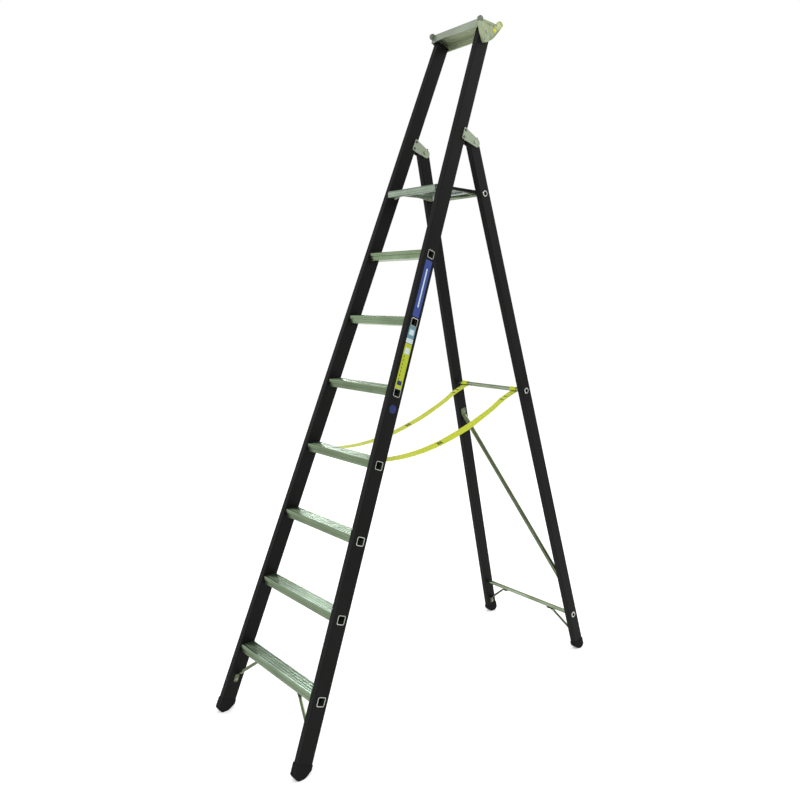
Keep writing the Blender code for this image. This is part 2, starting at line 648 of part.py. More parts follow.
def make_platform_bracket(side, name):
    """The side plate under the deck: it turns on the hinge bolt and hooks over the rear rod."""
    rod_at = (leg_y(BAR_HEIGHTS["platform_rod"]), BAR_HEIGHTS["platform_rod"])
    top = PLATFORM_Z - DECK_THICK - GAP
    hy, hz = PLATFORM_HINGE
    clear = BAR_R + 0.0009
    outline = [(hy - 0.011, top)] + arc((hy, hz), 0.0105, 180, 315, 6)
    outline += [(hy + 0.030, top - 0.009), (rod_at[0] - 0.085, top - 0.009),
                (rod_at[0] - 0.020, rod_at[1] - 0.006)]
    outline += arc(rod_at, clear, 160, -20, 10)
    outline += [(rod_at[0] + 0.0125, rod_at[1] - 0.006), (PLATFORM_BACK - 0.001, rod_at[1]),
                (PLATFORM_BACK - 0.001, top)]
    middle = side * 0.1
    plate = prism(name, [outline], PLATE_THICK / 2, Matrix.Translation((middle, 0, 0)) @ SIDE_VIEW)
    for v in plate.data.vertices:
        v.co.x += side * (platform_half(v.co.y) - 0.1 - PLATE_THICK / 2 - 0.0004)
    return cut(plate, cross_hole("hole", (side * platform_half(hy), hy, hz), BOLT_R, 0.02))


def make_platform_bolt(side, name):
    hy, hz = PLATFORM_HINGE
    inner = platform_half(hy) - PLATE_THICK - 0.0015
    outer = stile_inner(hz) + STILE_WALL
    start, end = Vector((side * inner, hy, hz)), Vector((side * outer, hy, hz))
    return headed(name, start, end, BOLT_R, 0.0075, 0.0035)


def make_rod_clip(side, name):
    """A plastic saddle under the deck that seats on the rod beside the bracket."""
    y, z = leg_y(BAR_HEIGHTS["platform_rod"]), BAR_HEIGHTS["platform_rod"]
    top = PLATFORM_Z - DECK_THICK - GAP
    outline = [(y - 0.021, top), (y - 0.018, z - 0.001), (y - 0.0125, z - 0.001)]
    outline += arc((y, z), BAR_R + 0.0006, 165, -22, 12)
    outline += [(y + 0.0125, z - 0.0055), (y + 0.0150, z - 0.002), (y + 0.0150, top)]
    return prism(name, [outline], 0.006, Matrix.Translation((side * CLIP_X, 0, 0)) @ SIDE_VIEW)


# ---------------------------------------------------------------- top rail, end cap and hook

def make_top_rail():
    """A channel over the stiles' tops: a flat band in front, a top plate and a deeper rear web."""
    front, back, skin = RAIL_FRONT, RAIL_BACK, RAIL_SKIN
    outline = [(front - 0.001, RAIL_FRONT_LOW), (front + skin, RAIL_FRONT_LOW)]
    outline += [(front + skin, RAIL_TOP - skin), (back - skin, RAIL_TOP - skin), (back - skin, RAIL_BACK_LOW)]
    outline += [(back, RAIL_BACK_LOW)] + arc((back - 0.003, RAIL_TOP - 0.003), 0.003, 0, 90, 3)
    outline += [(front + 0.002, RAIL_TOP), (front, RAIL_TOP - 0.002), (front, RAIL_FRONT_LOW + 0.004)]
    outline += [(front - 0.001, RAIL_FRONT_LOW + 0.003)]
    side = [side_point(n, s) for n, s in outline]
    rail = prism("top_rail", [side], 0.3, SIDE_VIEW)
    return fit_ends(rail, lambda _, height: stile_outer(height) - 0.0002)


def stile_outline(side, name, outline, thick):
    """An outline of (n, s) extruded outward from a stile's outer face."""
    at = stile_frame(side) @ Matrix.Translation((side * (STILE_THICK / 2 + GAP + thick / 2), 0, 0))
    return prism(name, [outline], thick / 2, at @ SIDE_VIEW)


def knob(side):
    """The round end over the rail's front edge."""
    return stile_outline(side, "knob", arc(KNOB, KNOB_R, 0, 337.5, 15), KNOB_THICK)


def make_end_cap():
    """The plastic cap on the rail's left end, with its knob."""
    low_front, low_back = (RAIL_FRONT, RAIL_FRONT_LOW - 0.002), (RAIL_BACK - 0.004, RAIL_BACK_LOW - 0.004)
    outline = [low_front, low_back]
    outline += arc((RAIL_BACK - 0.004, RAIL_BACK_LOW), 0.004, -60, 0, 3)
    outline += arc((RAIL_BACK - 0.006, RAIL_TOP - 0.006), 0.006, 0, 90, 4)
    outline += [(RAIL_FRONT, RAIL_TOP)]
    return union(stile_outline(-1, "left_end_cap", outline, 0.005), knob(-1))


def hook_rivet_hole(n, s):
    frame = stile_frame(1)
    start, end = (frame @ Vector((x, n, s)) for x in (STILE_THICK / 2 - 0.006, STILE_THICK / 2 + 0.03))
    return rod("rivet_hole", start, end, RIVET_R + GAP)


def make_hook():
    """The bucket hook on the right stile: a knob on the rail's end, a saddle and a raised rear tip."""
    sin, cos = math.sin(LEAN_ANGLE), math.cos(LEAN_ANGLE)
    outline = [(y * cos - z * sin, y * sin + z * cos) for y, z in reversed(HOOK)]
    hook = union(stile_outline(1, "bucket_hook", outline, HOOK_THICK), knob(1))
    return cut(hook, *[hook_rivet_hole(n, s) for n, s in HOOK_RIVETS])


def make_hook_rivet(name, n, s):
    """A rivet from the hook's outer face through the stile's outer wall."""
    frame = stile_frame(1)
    face = STILE_THICK / 2 + GAP + HOOK_THICK
    start, end = (frame @ Vector((x, n, s)) for x in (face, STILE_THICK / 2 - STILE_WALL))
    return headed(name, start, end, RIVET_R, 0.0042, 0.0016)


# ---------------------------------------------------------------- straps

def strap_seat(side):
    """Where a strap is riveted to the rear wall of the fourth tread's tube."""
    z = STRAP_TREAD * PITCH - TUBE_DROP
    return Vector((side * STRAP_X, STILE_LEAN * z, z)) + STILE_BACK * (TUBE_SIDE / 2)


def strap_line(side):
    """The middle line of a strap: up the tread's rear wall, along its sag, and round the rear bar."""
    seat = strap_seat(side) + STILE_BACK * (GAP + STRAP_THICK / 2)
    start = [seat - STILE_UP * 0.010, seat, seat + STILE_UP * 0.009]
    bar = Vector((side * STRAP_X, leg_y(BAR_HEIGHTS["strap_bar"]), BAR_HEIGHTS["strap_bar"]))
    radius = BAR_R + GAP + STRAP_THICK / 2
    loop = []
    for i in range(11):
        a = math.radians(-105 + 28 * i)
        loop.append(bar + Vector((0, math.cos(a) * radius, math.sin(a) * radius)))
    sag = [Vector((side * STRAP_X, y, z)) for y, z in reversed(STRAP_LINE)]
    return start + sag + loop


def make_strap(side, name):
    half_width, half_thick = (size / 2 * math.sqrt(2) for size in (STRAP_WIDTH, STRAP_THICK))
    stations = [(point, half_width, half_thick) for point in strap_line(side)]
    strap = loft(name, stations, (1, 0, 0), count=4)
    seat = strap_seat(side)
    return cut(strap, rod("hole", seat - STILE_BACK * 0.01, seat + STILE_BACK * 0.01, RIVET_R + GAP))


def make_strap_rivet(side, name):
    seat = strap_seat(side)
    outer = seat + STILE_BACK * (2 * GAP + STRAP_THICK)
    return headed(name, outer, seat - STILE_BACK * TUBE_WALL, RIVET_R, 0.0058, 0.0022)


# ---------------------------------------------------------------- the ladder

def build():
    alloy = material("aluminium", ALUMINIUM, 0.35, 1.0)
    black = material("black_rail", BLACK, 0.55, 0.0)
    rubber = material("rubber", RUBBER, 0.85, 0.0)
    zinc = material("zinc", ZINC, 0.3, 1.0)
    webbing = material("webbing", WEBBING, 0.8, 0.0)
    hook_plastic = material("hook_plastic", HOOK_PLASTIC, 0.35, 0.0)
    grey = material("grey_plastic", GREY_PLASTIC, 0.5, 0.0)
    white = material("white_plastic", WHITE_PLASTIC, 0.45, 0.0)

    front = empty("front_frame", (0, 0, 0))
    back = empty("fold_axis", (0, *PIVOT), front)
    platform = empty("platform_axis", (0, *PLATFORM_HINGE), front)

    for side, word in ((-1, "left"), (1, "right")):
        finish(make_stile(side, f"{word}_stile"), black, front)
        finish(make_leg(side, f"{word}_leg"), black, back)
        foot = shoe(f"{word}_front_foot", side, stile_frame(side), STILE_HALF - STILE_THICK / 2, STILE_SPLAY,
                    STILE_LEAN, 0, (STILE_DEPTH, STILE_THICK), STILE_START, STILE_SHOE)
        finish(foot, rubber, front)
        foot = shoe(f"{word}_rear_foot", side, leg_frame(side), LEG_HALF - LEG_THICK / 2, LEG_SPLAY,
                    LEG_LEAN, LEG_FOOT_Y, (LEG_DEPTH, LEG_THICK), LEG_START, LEG_SHOE)
        finish(foot, rubber, back)
        finish(make_tread_brace(side, f"{word}_tread_brace"), alloy, front)
        finish(make_bar_brace(side, f"{word}_bar_brace"), alloy, back)
        finish(foot_rivet(f"{word}_tread_brace_rivet", side, stile_inner, lambda z: STILE_LEAN * z,
                          TREAD_BRACE_FOOT_Z, STILE_WALL), zinc, front)
        finish(foot_rivet(f"{word}_bar_brace_rivet", side, leg_inner, leg_y, BAR_BRACE_FOOT_Z,
                          LEG_WALL), zinc, back)
        finish(top_rivet(f"{word}_tread_brace_top_rivet", side, TREAD_BRACE_TOP_X, tread_brace_seat(),
                         STILE_UP, TUBE_WALL), zinc, front)
        finish(top_rivet(f"{word}_bar_brace_top_rivet", side, BAR_BRACE_TOP_X, bar_brace_seat(), LEG_UP,
                         BAR_WALL), zinc, back)
        finish(make_plate(side, f"{word}_outer_plate", 1), alloy, front)
        finish(make_plate(side, f"{word}_inner_plate", -1), alloy, front)
        for place, (n, s) in zip(("upper", "lower"), PLATE_RIVETS):
            finish(make_plate_rivet(side, f"{word}_{place}_plate_rivet", n, s), zinc, front)
        finish(make_pivot_bolt(side, f"{word}_pivot_bolt"), zinc, front)
        finish(make_platform_bracket(side, f"{word}_platform_bracket"), alloy, platform)
        finish(make_platform_bolt(side, f"{word}_platform_bolt"), zinc, front)
        finish(make_rod_clip(side, f"{word}_rod_clip"), white, platform)
        finish(make_strap(side, f"{word}_strap"), webbing, front)
        finish(make_strap_rivet(side, f"{word}_strap_rivet"), zinc, front)

    for k in range(1, TREADS + 1):
        finish(make_tread(k), alloy, front)
    for name, z in BAR_HEIGHTS.items():
        finish(make_bar(name, z), alloy, back)
    finish(make_diagonal(), alloy, back)
    finish(foot_rivet("upper_diagonal_rivet", -1, leg_inner, leg_y, DIAGONAL_TOP_Z, LEG_WALL), zinc, back)
    finish(foot_rivet("lower_diagonal_rivet", 1, leg_inner, leg_y, DIAGONAL_FOOT_Z, LEG_WALL), zinc, back)
    finish(make_nosing(), alloy, platform)
    finish(make_deck(), alloy, platform)
    finish(make_top_rail(), alloy, front)
    finish(make_end_cap(), grey, front)
    finish(make_hook(), hook_plastic, front)
    for place, (n, s) in zip(("upper", "lower"), HOOK_RIVETS):
        finish(make_hook_rivet(f"{place}_hook_rivet", n, s), zinc, front)


clear_scene()
LADDER = bpy.data.collections.new("platform_stepladder")
bpy.context.scene.collection.children.link(LADDER)
build()
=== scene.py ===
"""The looks of the folding platform stepladder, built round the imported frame.

Metres, in the row frame. "Stile frame" below is a stile's own axes: x across it to the right, n through
its depth to the rear and s up along it. Side-view places are (y, z) behind the front stiles' foot line.
"""
import json
import math

import bmesh
import bpy
from mathutils import Matrix, Vector

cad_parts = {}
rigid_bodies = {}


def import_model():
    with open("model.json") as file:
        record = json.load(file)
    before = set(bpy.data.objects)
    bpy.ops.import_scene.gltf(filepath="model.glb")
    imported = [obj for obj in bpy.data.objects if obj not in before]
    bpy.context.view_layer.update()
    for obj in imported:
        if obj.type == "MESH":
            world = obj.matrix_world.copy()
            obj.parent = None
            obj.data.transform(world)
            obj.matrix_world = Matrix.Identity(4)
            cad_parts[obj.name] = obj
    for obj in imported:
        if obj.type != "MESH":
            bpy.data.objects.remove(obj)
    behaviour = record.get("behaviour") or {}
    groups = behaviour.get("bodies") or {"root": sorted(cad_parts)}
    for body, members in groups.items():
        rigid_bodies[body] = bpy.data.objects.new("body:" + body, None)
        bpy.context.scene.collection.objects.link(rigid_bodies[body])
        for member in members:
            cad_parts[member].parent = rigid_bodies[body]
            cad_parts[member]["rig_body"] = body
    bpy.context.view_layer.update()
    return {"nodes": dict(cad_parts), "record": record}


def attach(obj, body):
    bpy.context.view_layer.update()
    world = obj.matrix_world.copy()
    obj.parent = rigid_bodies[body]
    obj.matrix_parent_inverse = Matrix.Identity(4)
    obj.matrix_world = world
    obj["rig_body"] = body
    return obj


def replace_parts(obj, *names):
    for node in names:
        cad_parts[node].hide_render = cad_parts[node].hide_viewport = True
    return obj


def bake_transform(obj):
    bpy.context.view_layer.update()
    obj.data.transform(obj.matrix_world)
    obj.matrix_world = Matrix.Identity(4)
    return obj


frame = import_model()
NODES = frame["nodes"]

MID_Y = 0.7020  # the row frame's origin, behind the front stiles' foot line
SIDES = ((-1, "left"), (1, "right"))

PITCH, TREADS = 0.237, 7
STILE_LEAN, STILE_HALF, STILE_SPLAY = 0.366, 0.2658, 0.0557
STILE_DEPTH, STILE_THICK = 0.056, 0.0257
LEG_FOOT_Y, LEG_LEAN, LEG_HALF, LEG_SPLAY = 1.4059, -0.2768, 0.2645, 0.05535
LEG_DEPTH, LEG_THICK = 0.049, 0.0245
GAP = 0.0003  # between pieces that touch
CRISP = 0.0002  # how far a drawn profile's edges are softened

TREAD_FRONT, TREAD_BACK, TREAD_LIP, TREAD_APRON, TREAD_SKIN = 0.0265, 0.0240, 0.0142, 0.0295, 0.0035
GROOVES, GROOVE_PITCH = 4, 0.0110
TUBE_DROP, TUBE_SIDE, TUBE_WALL, TUBE_ROUND = 0.0184, 0.0274, 0.0011, 0.0045
COLLAR_SIDE, COLLAR_THICK, COLLAR_ROUND = 0.0300, 0.0015, 0.0057
BAR_R, STRAP_BAR_Z = 0.0085, 1.125
PLATFORM_Z, PLATFORM_FRONT, PLATFORM_BACK, NOSING_BACK = PITCH * 8, 0.655, 0.902, 0.684
PLATFORM_HALF_FRONT, PLATFORM_HALF_BACK, DECK_THICK = 0.1330, 0.1150, 0.004
RAIL_SKIN, RAIL_FRONT, RAIL_BACK, RAIL_TOP = 0.003, -0.0400, 0.0318, 2.679
RAIL_FRONT_LOW, RAIL_BACK_LOW = 2.644, 2.640
KNOB, KNOB_R, KNOB_THICK = (-0.0430, 2.6715), 0.0122, 0.012
HOOK_THICK, HOOK_BODY, HOOK_RIM = 0.011, 0.0076, 0.0026
SHOE_WALL, SHOE_GROOVES = 0.0013, 22

LEAN_ANGLE = math.atan(STILE_LEAN)
STILE_UP = Vector((math.sin(LEAN_ANGLE), math.cos(LEAN_ANGLE)))  # in side view
STILE_BACK = Vector((math.cos(LEAN_ANGLE), -math.sin(LEAN_ANGLE)))
# Stands an outline up: its (u, v) become (y, z), and it is extruded along X.
SIDE_VIEW = Matrix(((0, 0, 1, 0), (1, 0, 0, 0), (0, 1, 0, 0), (0, 0, 0, 1)))
HOME = Matrix.Translation((0, -MID_Y, 0)) @ SIDE_VIEW  # for outlines in side view


# ---------------------------------------------------------------- materials

def new_material(name):
    mat = bpy.data.materials.new(name)
    mat.use_nodes = True
    nodes, links = mat.node_tree.nodes, mat.node_tree.links
    return mat, nodes, links, nodes["Principled BSDF"]


def noise(nodes, links, scale, detail=4.0, stretch=(1, 1, 1), rough=0.5):
    """A noise texture in metres of the object's own space, stretched along some axes."""
    where = nodes.new("ShaderNodeTexCoord")
    sized = nodes.new("ShaderNodeMapping")
    sized.inputs["Scale"].default_value = stretch
    texture = nodes.new("ShaderNodeTexNoise")
    texture.inputs["Scale"].default_value = scale
    texture.inputs["Detail"].default_value = detail
    texture.inputs["Roughness"].default_value = rough
    links.new(where.outputs["Object"], sized.inputs["Vector"])
    links.new(sized.outputs["Vector"], texture.inputs["Vector"])
    return texture.outputs["Fac"]


def ramp(nodes, links, value, low, high, low_at=0.3, high_at=0.7):
    """Maps a value to a run between two greys or two colours."""
    node = nodes.new("ShaderNodeValToRGB")
    for stop, at, colour in zip(node.color_ramp.elements, (low_at, high_at), (low, high)):
        stop.position = at
        stop.color = (*colour, 1) if hasattr(colour, "__len__") else (colour, colour, colour, 1)
    links.new(value, node.inputs["Fac"])
    return node.outputs["Color"]


def blended(nodes, links, share, first, second, mode="MIX"):
    """Two colours mixed by a share, which is a number or a socket."""
    node = nodes.new("ShaderNodeMix")
    node.data_type, node.blend_type = "RGBA", mode
    if isinstance(share, float):
        node.inputs["Factor"].default_value = share
    else:
        links.new(share, node.inputs["Factor"])
    for name, value in (("A", first), ("B", second)):
        socket = next(s for s in node.inputs if s.name == name and s.type == "RGBA")
        if hasattr(value, "__len__"):
            socket.default_value = (*value, 1)
        else:
            links.new(value, socket)
    return next(s for s in node.outputs if s.type == "RGBA")


def bump(nodes, links, shader, value, strength, distance):
    node = nodes.new("ShaderNodeBump")
    node.inputs["Strength"].default_value = strength
    node.inputs["Distance"].default_value = distance
    links.new(value, node.inputs["Height"])
    links.new(node.outputs["Normal"], shader.inputs["Normal"])


def aluminium(name, stretch, light, dark, rough=(0.30, 0.42), lines_by=(0.80, 1.08), metallic=0.9):
    """Mill-finish aluminium: fine grain and streaks, drawn out along an axis or even, and slight clouds."""
    mat, nodes, links, shader = new_material(name)
    grain = noise(nodes, links, 1100, 3, stretch, 0.6)
    streak = noise(nodes, links, 160, 3, stretch, 0.55)
    cloud = noise(nodes, links, 11, 4)
    body = ramp(nodes, links, cloud, dark, light, 0.35, 0.65)
    lines = ramp(nodes, links, streak, *lines_by, 0.35, 0.65)
    links.new(blended(nodes, links, 1.0, body, lines, "MULTIPLY"), shader.inputs["Base Color"])
    links.new(ramp(nodes, links, grain, *rough), shader.inputs["Roughness"])
    shader.inputs["Metallic"].default_value = metallic
    bump(nodes, links, shader, grain, 0.01, 0.0001)
    return mat


def black_coat():
    """Matte black powder coat: a fine orange-peel skin with a little dust and a few scuffs."""
    mat, nodes, links, shader = new_material("black_coat")
    skin = noise(nodes, links, 1500, 2)
    dust = noise(nodes, links, 7, 5, (1, 1, 0.3), 0.6)
    scuff = noise(nodes, links, 90, 5, (1, 1, 0.12), 0.7)
    body = ramp(nodes, links, dust, (0.0046, 0.0049, 0.0044), (0.0070, 0.0073, 0.0067))
    marks = ramp(nodes, links, scuff, 0.0, 0.3, 0.70, 0.82)
    links.new(blended(nodes, links, marks, body, (0.020, 0.021, 0.019)), shader.inputs["Base Color"])
    links.new(ramp(nodes, links, skin, 0.44, 0.60), shader.inputs["Roughness"])
    shader.inputs["Specular IOR Level"].default_value = 0.08
    bump(nodes, links, shader, skin, 0.3, 0.0001)
    return mat


def plain(name, colour, second, roughness, scale, metallic=0.0, bump_by=0.2, gloss=0.5):
    """A moulded, plated or rubber surface with a fine mottle."""
    mat, nodes, links, shader = new_material(name)
    value = noise(nodes, links, scale, 4)
    links.new(ramp(nodes, links, value, colour, second), shader.inputs["Base Color"])
    links.new(ramp(nodes, links, value, roughness - 0.06, roughness + 0.06), shader.inputs["Roughness"])
    shader.inputs["Metallic"].default_value = metallic
    shader.inputs["Specular IOR Level"].default_value = gloss
    bump(nodes, links, shader, value, bump_by, 0.0001)
    return mat


def stripes(nodes, links, axis, per_metre):
    """A smooth 0 to 1 ripple, repeated so many times a metre along one axis."""
    where = nodes.new("ShaderNodeTexCoord")
    wave = nodes.new("ShaderNodeTexWave")
    wave.bands_direction = axis
    wave.inputs["Scale"].default_value = per_metre * math.pi / 10  # at scale 1 it has 10 / pi a metre
    links.new(where.outputs["Object"], wave.inputs["Vector"])
    return wave.outputs["Fac"]


def webbing(name, light, dark):
    """Woven polyester webbing: ribs across and along it, and a slightly fuzzy colour."""
    mat, nodes, links, shader = new_material(name)
    across, along = stripes(nodes, links, "X", 620), stripes(nodes, links, "Y", 480)
    weave = nodes.new("ShaderNodeMath")
    weave.operation = "MULTIPLY"
    links.new(across, weave.inputs[0])
    links.new(along, weave.inputs[1])
    fuzz = noise(nodes, links, 260, 4)
    cloth = ramp(nodes, links, weave.outputs["Value"], dark, light, 0.05, 0.6)
    shade = ramp(nodes, links, fuzz, 0.82, 1.08, 0.3, 0.7)
    links.new(blended(nodes, links, 1.0, cloth, shade, "MULTIPLY"), shader.inputs["Base Color"])
    shader.inputs["Roughness"].default_value = 0.82
    shader.inputs["Specular IOR Level"].default_value = 0.25
    shader.inputs["Sheen Weight"].default_value = 0.25
    bump(nodes, links, shader, weave.outputs["Value"], 0.6, 0.0004)
    return mat


def glowing_floor():
    """A pale studio floor, bright enough that it meets the white background without an edge."""
    mat, nodes, links, shader = new_material("pale_floor")
    cloud = noise(nodes, links, 3, 3)
    links.new(ramp(nodes, links, cloud, (0.89, 0.89, 0.89), (0.92, 0.92, 0.92)), shader.inputs["Base Color"])
    shader.inputs["Roughness"].default_value = 0.9
    shader.inputs["Specular IOR Level"].default_value = 0.1
    shader.inputs["Emission Color"].default_value = (1, 1, 1, 1)
    shader.inputs["Emission Strength"].default_value = 0.2
    return mat


EVEN, ALONG_X = (1, 1, 1), (0.015, 1, 1)  # how a metal's grain is stretched
MATERIALS = {
    "black_rail": black_coat(),
    "aluminium": aluminium("aluminium_sheet", EVEN, (0.33, 0.38, 0.28), (0.30, 0.35, 0.26), (0.38, 0.50),
                           (0.95, 1.03)),
    "across": aluminium("aluminium_drawn_across", ALONG_X, (0.225, 0.30, 0.24), (0.14, 0.195, 0.155),
                        (0.30, 0.33), (0.82, 1.12)),
    # apron: a darker copy of the tread aluminium for the faces that look forward, painted shade
    "apron": aluminium("aluminium_apron_painted_shade", ALONG_X, (0.16, 0.22, 0.13), (0.13, 0.18, 0.10), (0.30, 0.42),
                       (0.85, 1.1)),
    "rail": aluminium("aluminium_rail", ALONG_X, (0.34, 0.39, 0.31), (0.29, 0.33, 0.26), (0.38, 0.52),
                      (0.9, 1.06)),
    # rail inside: a lighter, less metallic copy of the rail aluminium for the channel's inner faces, painted
    # light from below
    "rail_inside_painted_light": aluminium("aluminium_rail_inside_painted_light", ALONG_X, (0.42, 0.48, 0.31), (0.34, 0.39, 0.25),
                             (0.38, 0.52), (0.9, 1.06), 0.15),
    "nosing": aluminium("aluminium_nosing", ALONG_X, (0.22, 0.27, 0.21), (0.17, 0.21, 0.16), (0.30, 0.44),
                        (0.85, 1.1)),
    "tube": aluminium("aluminium_tube", ALONG_X, (0.26, 0.31, 0.21), (0.16, 0.20, 0.12), (0.12, 0.24)),
    "strut": aluminium("aluminium_strut", EVEN, (0.135, 0.165, 0.095), (0.085, 0.11, 0.055), (0.06, 0.16)),
    "collar": aluminium("aluminium_collar", EVEN, (0.60, 0.62, 0.57), (0.42, 0.44, 0.40), (0.2, 0.35)),
    "zinc": plain("zinc_plate", (0.20, 0.22, 0.19), (0.28, 0.30, 0.26), 0.34, 700, 1.0),
    "dark_rivet": plain("dark_rivet", (0.05, 0.052, 0.048), (0.09, 0.092, 0.086), 0.4, 700, 0.7),
    "rubber": plain("rubber", (0.0058, 0.0060, 0.0056), (0.0085, 0.0088, 0.0082), 0.75, 1200, 0.0, 0.4, 0.08),
    "webbing": webbing("webbing", (0.66, 0.73, 0.008), (0.42, 0.47, 0.003)),
    "thread": plain("dark_thread", (0.05, 0.06, 0.012), (0.10, 0.11, 0.02), 0.85, 900),
    "hook_plastic": plain("hook_plastic", (0.23, 0.27, 0.155), (0.29, 0.34, 0.20), 0.36, 60, 0.0, 0.1, 0.4),
    "hook_tip": plain("hook_tip", (0.40, 0.43, 0.19), (0.48, 0.51, 0.24), 0.36, 90, 0.0, 0.1, 0.4),
    "hook_spot": plain("olive_plug", (0.46, 0.45, 0.010), (0.56, 0.55, 0.02), 0.4, 500),
    "grey_plastic": plain("grey_plastic", (0.085, 0.105, 0.080), (0.115, 0.135, 0.100), 0.36, 900),
    "white_plastic": plain("white_plastic", (0.70, 0.72, 0.69), (0.78, 0.80, 0.76), 0.45, 900),
    "blue_film": plain("blue_film", (0.022, 0.042, 0.19), (0.030, 0.054, 0.23), 0.34, 300, 0.0, 0.1, 0.3),
    "navy_film": plain("navy_film", (0.016, 0.024, 0.100), (0.021, 0.031, 0.125), 0.34, 300, 0.0, 0.1, 0.15),
    "teal_film": plain("teal_film", (0.09, 0.20, 0.24), (0.11, 0.23, 0.27), 0.34, 300, 0.0, 0.1, 0.3),
    "white_film": plain("white_film", (0.42, 0.50, 0.52), (0.48, 0.56, 0.58), 0.38, 300, 0.0, 0.1, 0.3),
    "label_print": plain("label_print", (0.05, 0.07, 0.012), (0.07, 0.09, 0.016), 0.36, 300, 0.0, 0.1, 0.2),
    "yellow_film": plain("yellow_film", (0.30, 0.36, 0.012), (0.38, 0.43, 0.020), 0.36, 300, 0.0, 0.1, 0.3),
}


# ---------------------------------------------------------------- mesh helpers

def link(name, mesh):
    obj = bpy.data.objects.new(name, mesh)
    bpy.context.scene.collection.objects.link(obj)
    return obj


def from_bmesh(name, bm):
    """The built mesh as a new object."""
    mesh = bpy.data.meshes.new(name)
    bm.to_mesh(mesh)
    bm.free()
    return link(name, mesh)


def applied(obj):
    """The object as shown, as a welded mesh in the row frame; the original is removed."""
    bpy.context.view_layer.update()
    shown = obj.evaluated_get(bpy.context.evaluated_depsgraph_get())
    mesh = bpy.data.meshes.new_from_object(shown)
    mesh.transform(obj.matrix_world)
    bm = bmesh.new()
    bm.from_mesh(mesh)
    bmesh.ops.remove_doubles(bm, verts=bm.verts, dist=2e-6)
    bmesh.ops.recalc_face_normals(bm, faces=bm.faces)
    bm.to_mesh(mesh)
    bm.free()
    name = obj.name
    bpy.data.objects.remove(obj)
    return link(name, mesh)


def extrude(name, outlines, half, matrix, edge):
    """Closed outlines, the first round the others, extruded both ways along local Z with soft edges."""
    curve = bpy.data.curves.new(name, "CURVE")
    curve.dimensions, curve.fill_mode = "2D", "BOTH"
    curve.extrude, curve.bevel_depth, curve.offset, curve.bevel_resolution = half - edge, edge, -edge, 1
    for outline in outlines:
        spline = curve.splines.new("POLY")
        spline.points.add(len(outline) - 1)
        spline.use_cyclic_u = True
        for point, (u, v) in zip(spline.points, outline):
            point.co = (u, v, 0, 1)
    obj = link(name, curve)
    obj.matrix_world = matrix
    return applied(obj)


def turned(name, profile, matrix, steps=32):
    """A solid turned about local Z from a profile of (radius, height), ending on the axis at both ends."""
    bm = bmesh.new()
    rings = []
    for radius, height in profile:
        if radius == 0:
            rings.append([bm.verts.new((0, 0, height))] * steps)
            continue
        angles = (2 * math.pi * i / steps for i in range(steps))
        rings.append([bm.verts.new((radius * math.cos(a), radius * math.sin(a), height)) for a in angles])
    for low, high in zip(rings, rings[1:]):
        for i in range(steps):
            corners = [low[i], low[(i + 1) % steps], high[(i + 1) % steps], high[i]]
            bm.faces.new(list(dict.fromkeys(corners)))
    bmesh.ops.recalc_face_normals(bm, faces=bm.faces)
    obj = from_bmesh(name, bm)
    obj.data.transform(matrix)
    return obj


def finished(obj, mat, body, *nodes, slot=None):
    """Gives a piece its material, smooth shading and body, and what it stands for."""
    obj.data.materials.clear()
    obj.data.materials.append(MATERIALS[mat])
    obj.data.shade_smooth()
    obj.data.set_sharp_from_angle(angle=math.radians(38))
    even = obj.modifiers.new("even_normals", "WEIGHTED_NORMAL")
    even.keep_sharp, even.weight = True, 90
    if body:
        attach(obj, body)
    if nodes:
        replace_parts(obj, *nodes)
    return obj


def anything(_):
    return True


def toned(obj, mat, facing=anything, where=anything):
    """Gives the faces that look a certain way, at a certain place, a second material."""
    obj.data.materials.append(MATERIALS[mat])
    last = len(obj.data.materials) - 1
    for face in obj.data.polygons:
        if facing(face.normal) and where(face.center):
            face.material_index = last


def rounded(width, height, radius, steps=6):
    """A rectangle's outline with round corners, about the origin."""
    points = []
    for corner, (sx, sy) in enumerate(((1, 1), (-1, 1), (-1, -1), (1, -1))):
        cx, cy = sx * (width / 2 - radius), sy * (height / 2 - radius)
        for i in range(steps + 1):
            a = math.pi / 2 * (corner + i / steps)
            points.append((cx + radius * math.cos(a), cy + radius * math.sin(a)))
    return points


def arc(centre, radius, start, end, steps):
    """Points on a circle, with angles in degrees."""
    angles = (math.radians(start + (end - start) * i / steps) for i in range(steps + 1))
    return [(centre[0] + radius * math.cos(a), centre[1] + radius * math.sin(a)) for a in angles]


def curved(points, steps, closed=True):
    """A smooth line through the points."""
    points = [Vector(p) for p in points]
    count = len(points)
    line = []
    for i in range(count if closed else count - 1):
        if closed:
            a, b, c, d = (points[(i + j) % count] for j in (-1, 0, 1, 2))
        else:
            a, b, c, d = (points[min(max(i + j, 0), count - 1)] for j in (-1, 0, 1, 2))
        for j in range(steps):
            t = j / steps
            line.append((2 * b + (c - a) * t + (2 * a - 5 * b + 4 * c - d) * t**2
                         + (3 * b - a - 3 * c + d) * t**3) / 2)
    return line if closed else line + [points[-1]]


def stile_frame(side):
    """A stile's own axes: X across it to the right, Y through its depth to the rear, Z up along it."""
    up = Vector((-side * STILE_SPLAY, STILE_LEAN, 1)).normalized()
    across = Vector((1, 0, side * STILE_SPLAY)).normalized()
    back = up.cross(across)
    origin = Vector((side * STILE_HALF, -MID_Y, 0)) - across * side * STILE_THICK / 2
    return Matrix.Translation(origin) @ Matrix((across, back, up)).transposed().to_4x4()


def on_stile(side, outward):
    """The frame for an outline of (n, s) whose middle lies outward from a stile's outer face."""
    shift = side * (STILE_THICK / 2 + outward)
    return stile_frame(side) @ Matrix.Translation((shift, 0, 0)) @ SIDE_VIEW


def stile_outer(z):
    return STILE_HALF - STILE_SPLAY * z


def stile_inner(z):
    return stile_outer(z) - STILE_THICK * math.hypot(1, STILE_SPLAY)


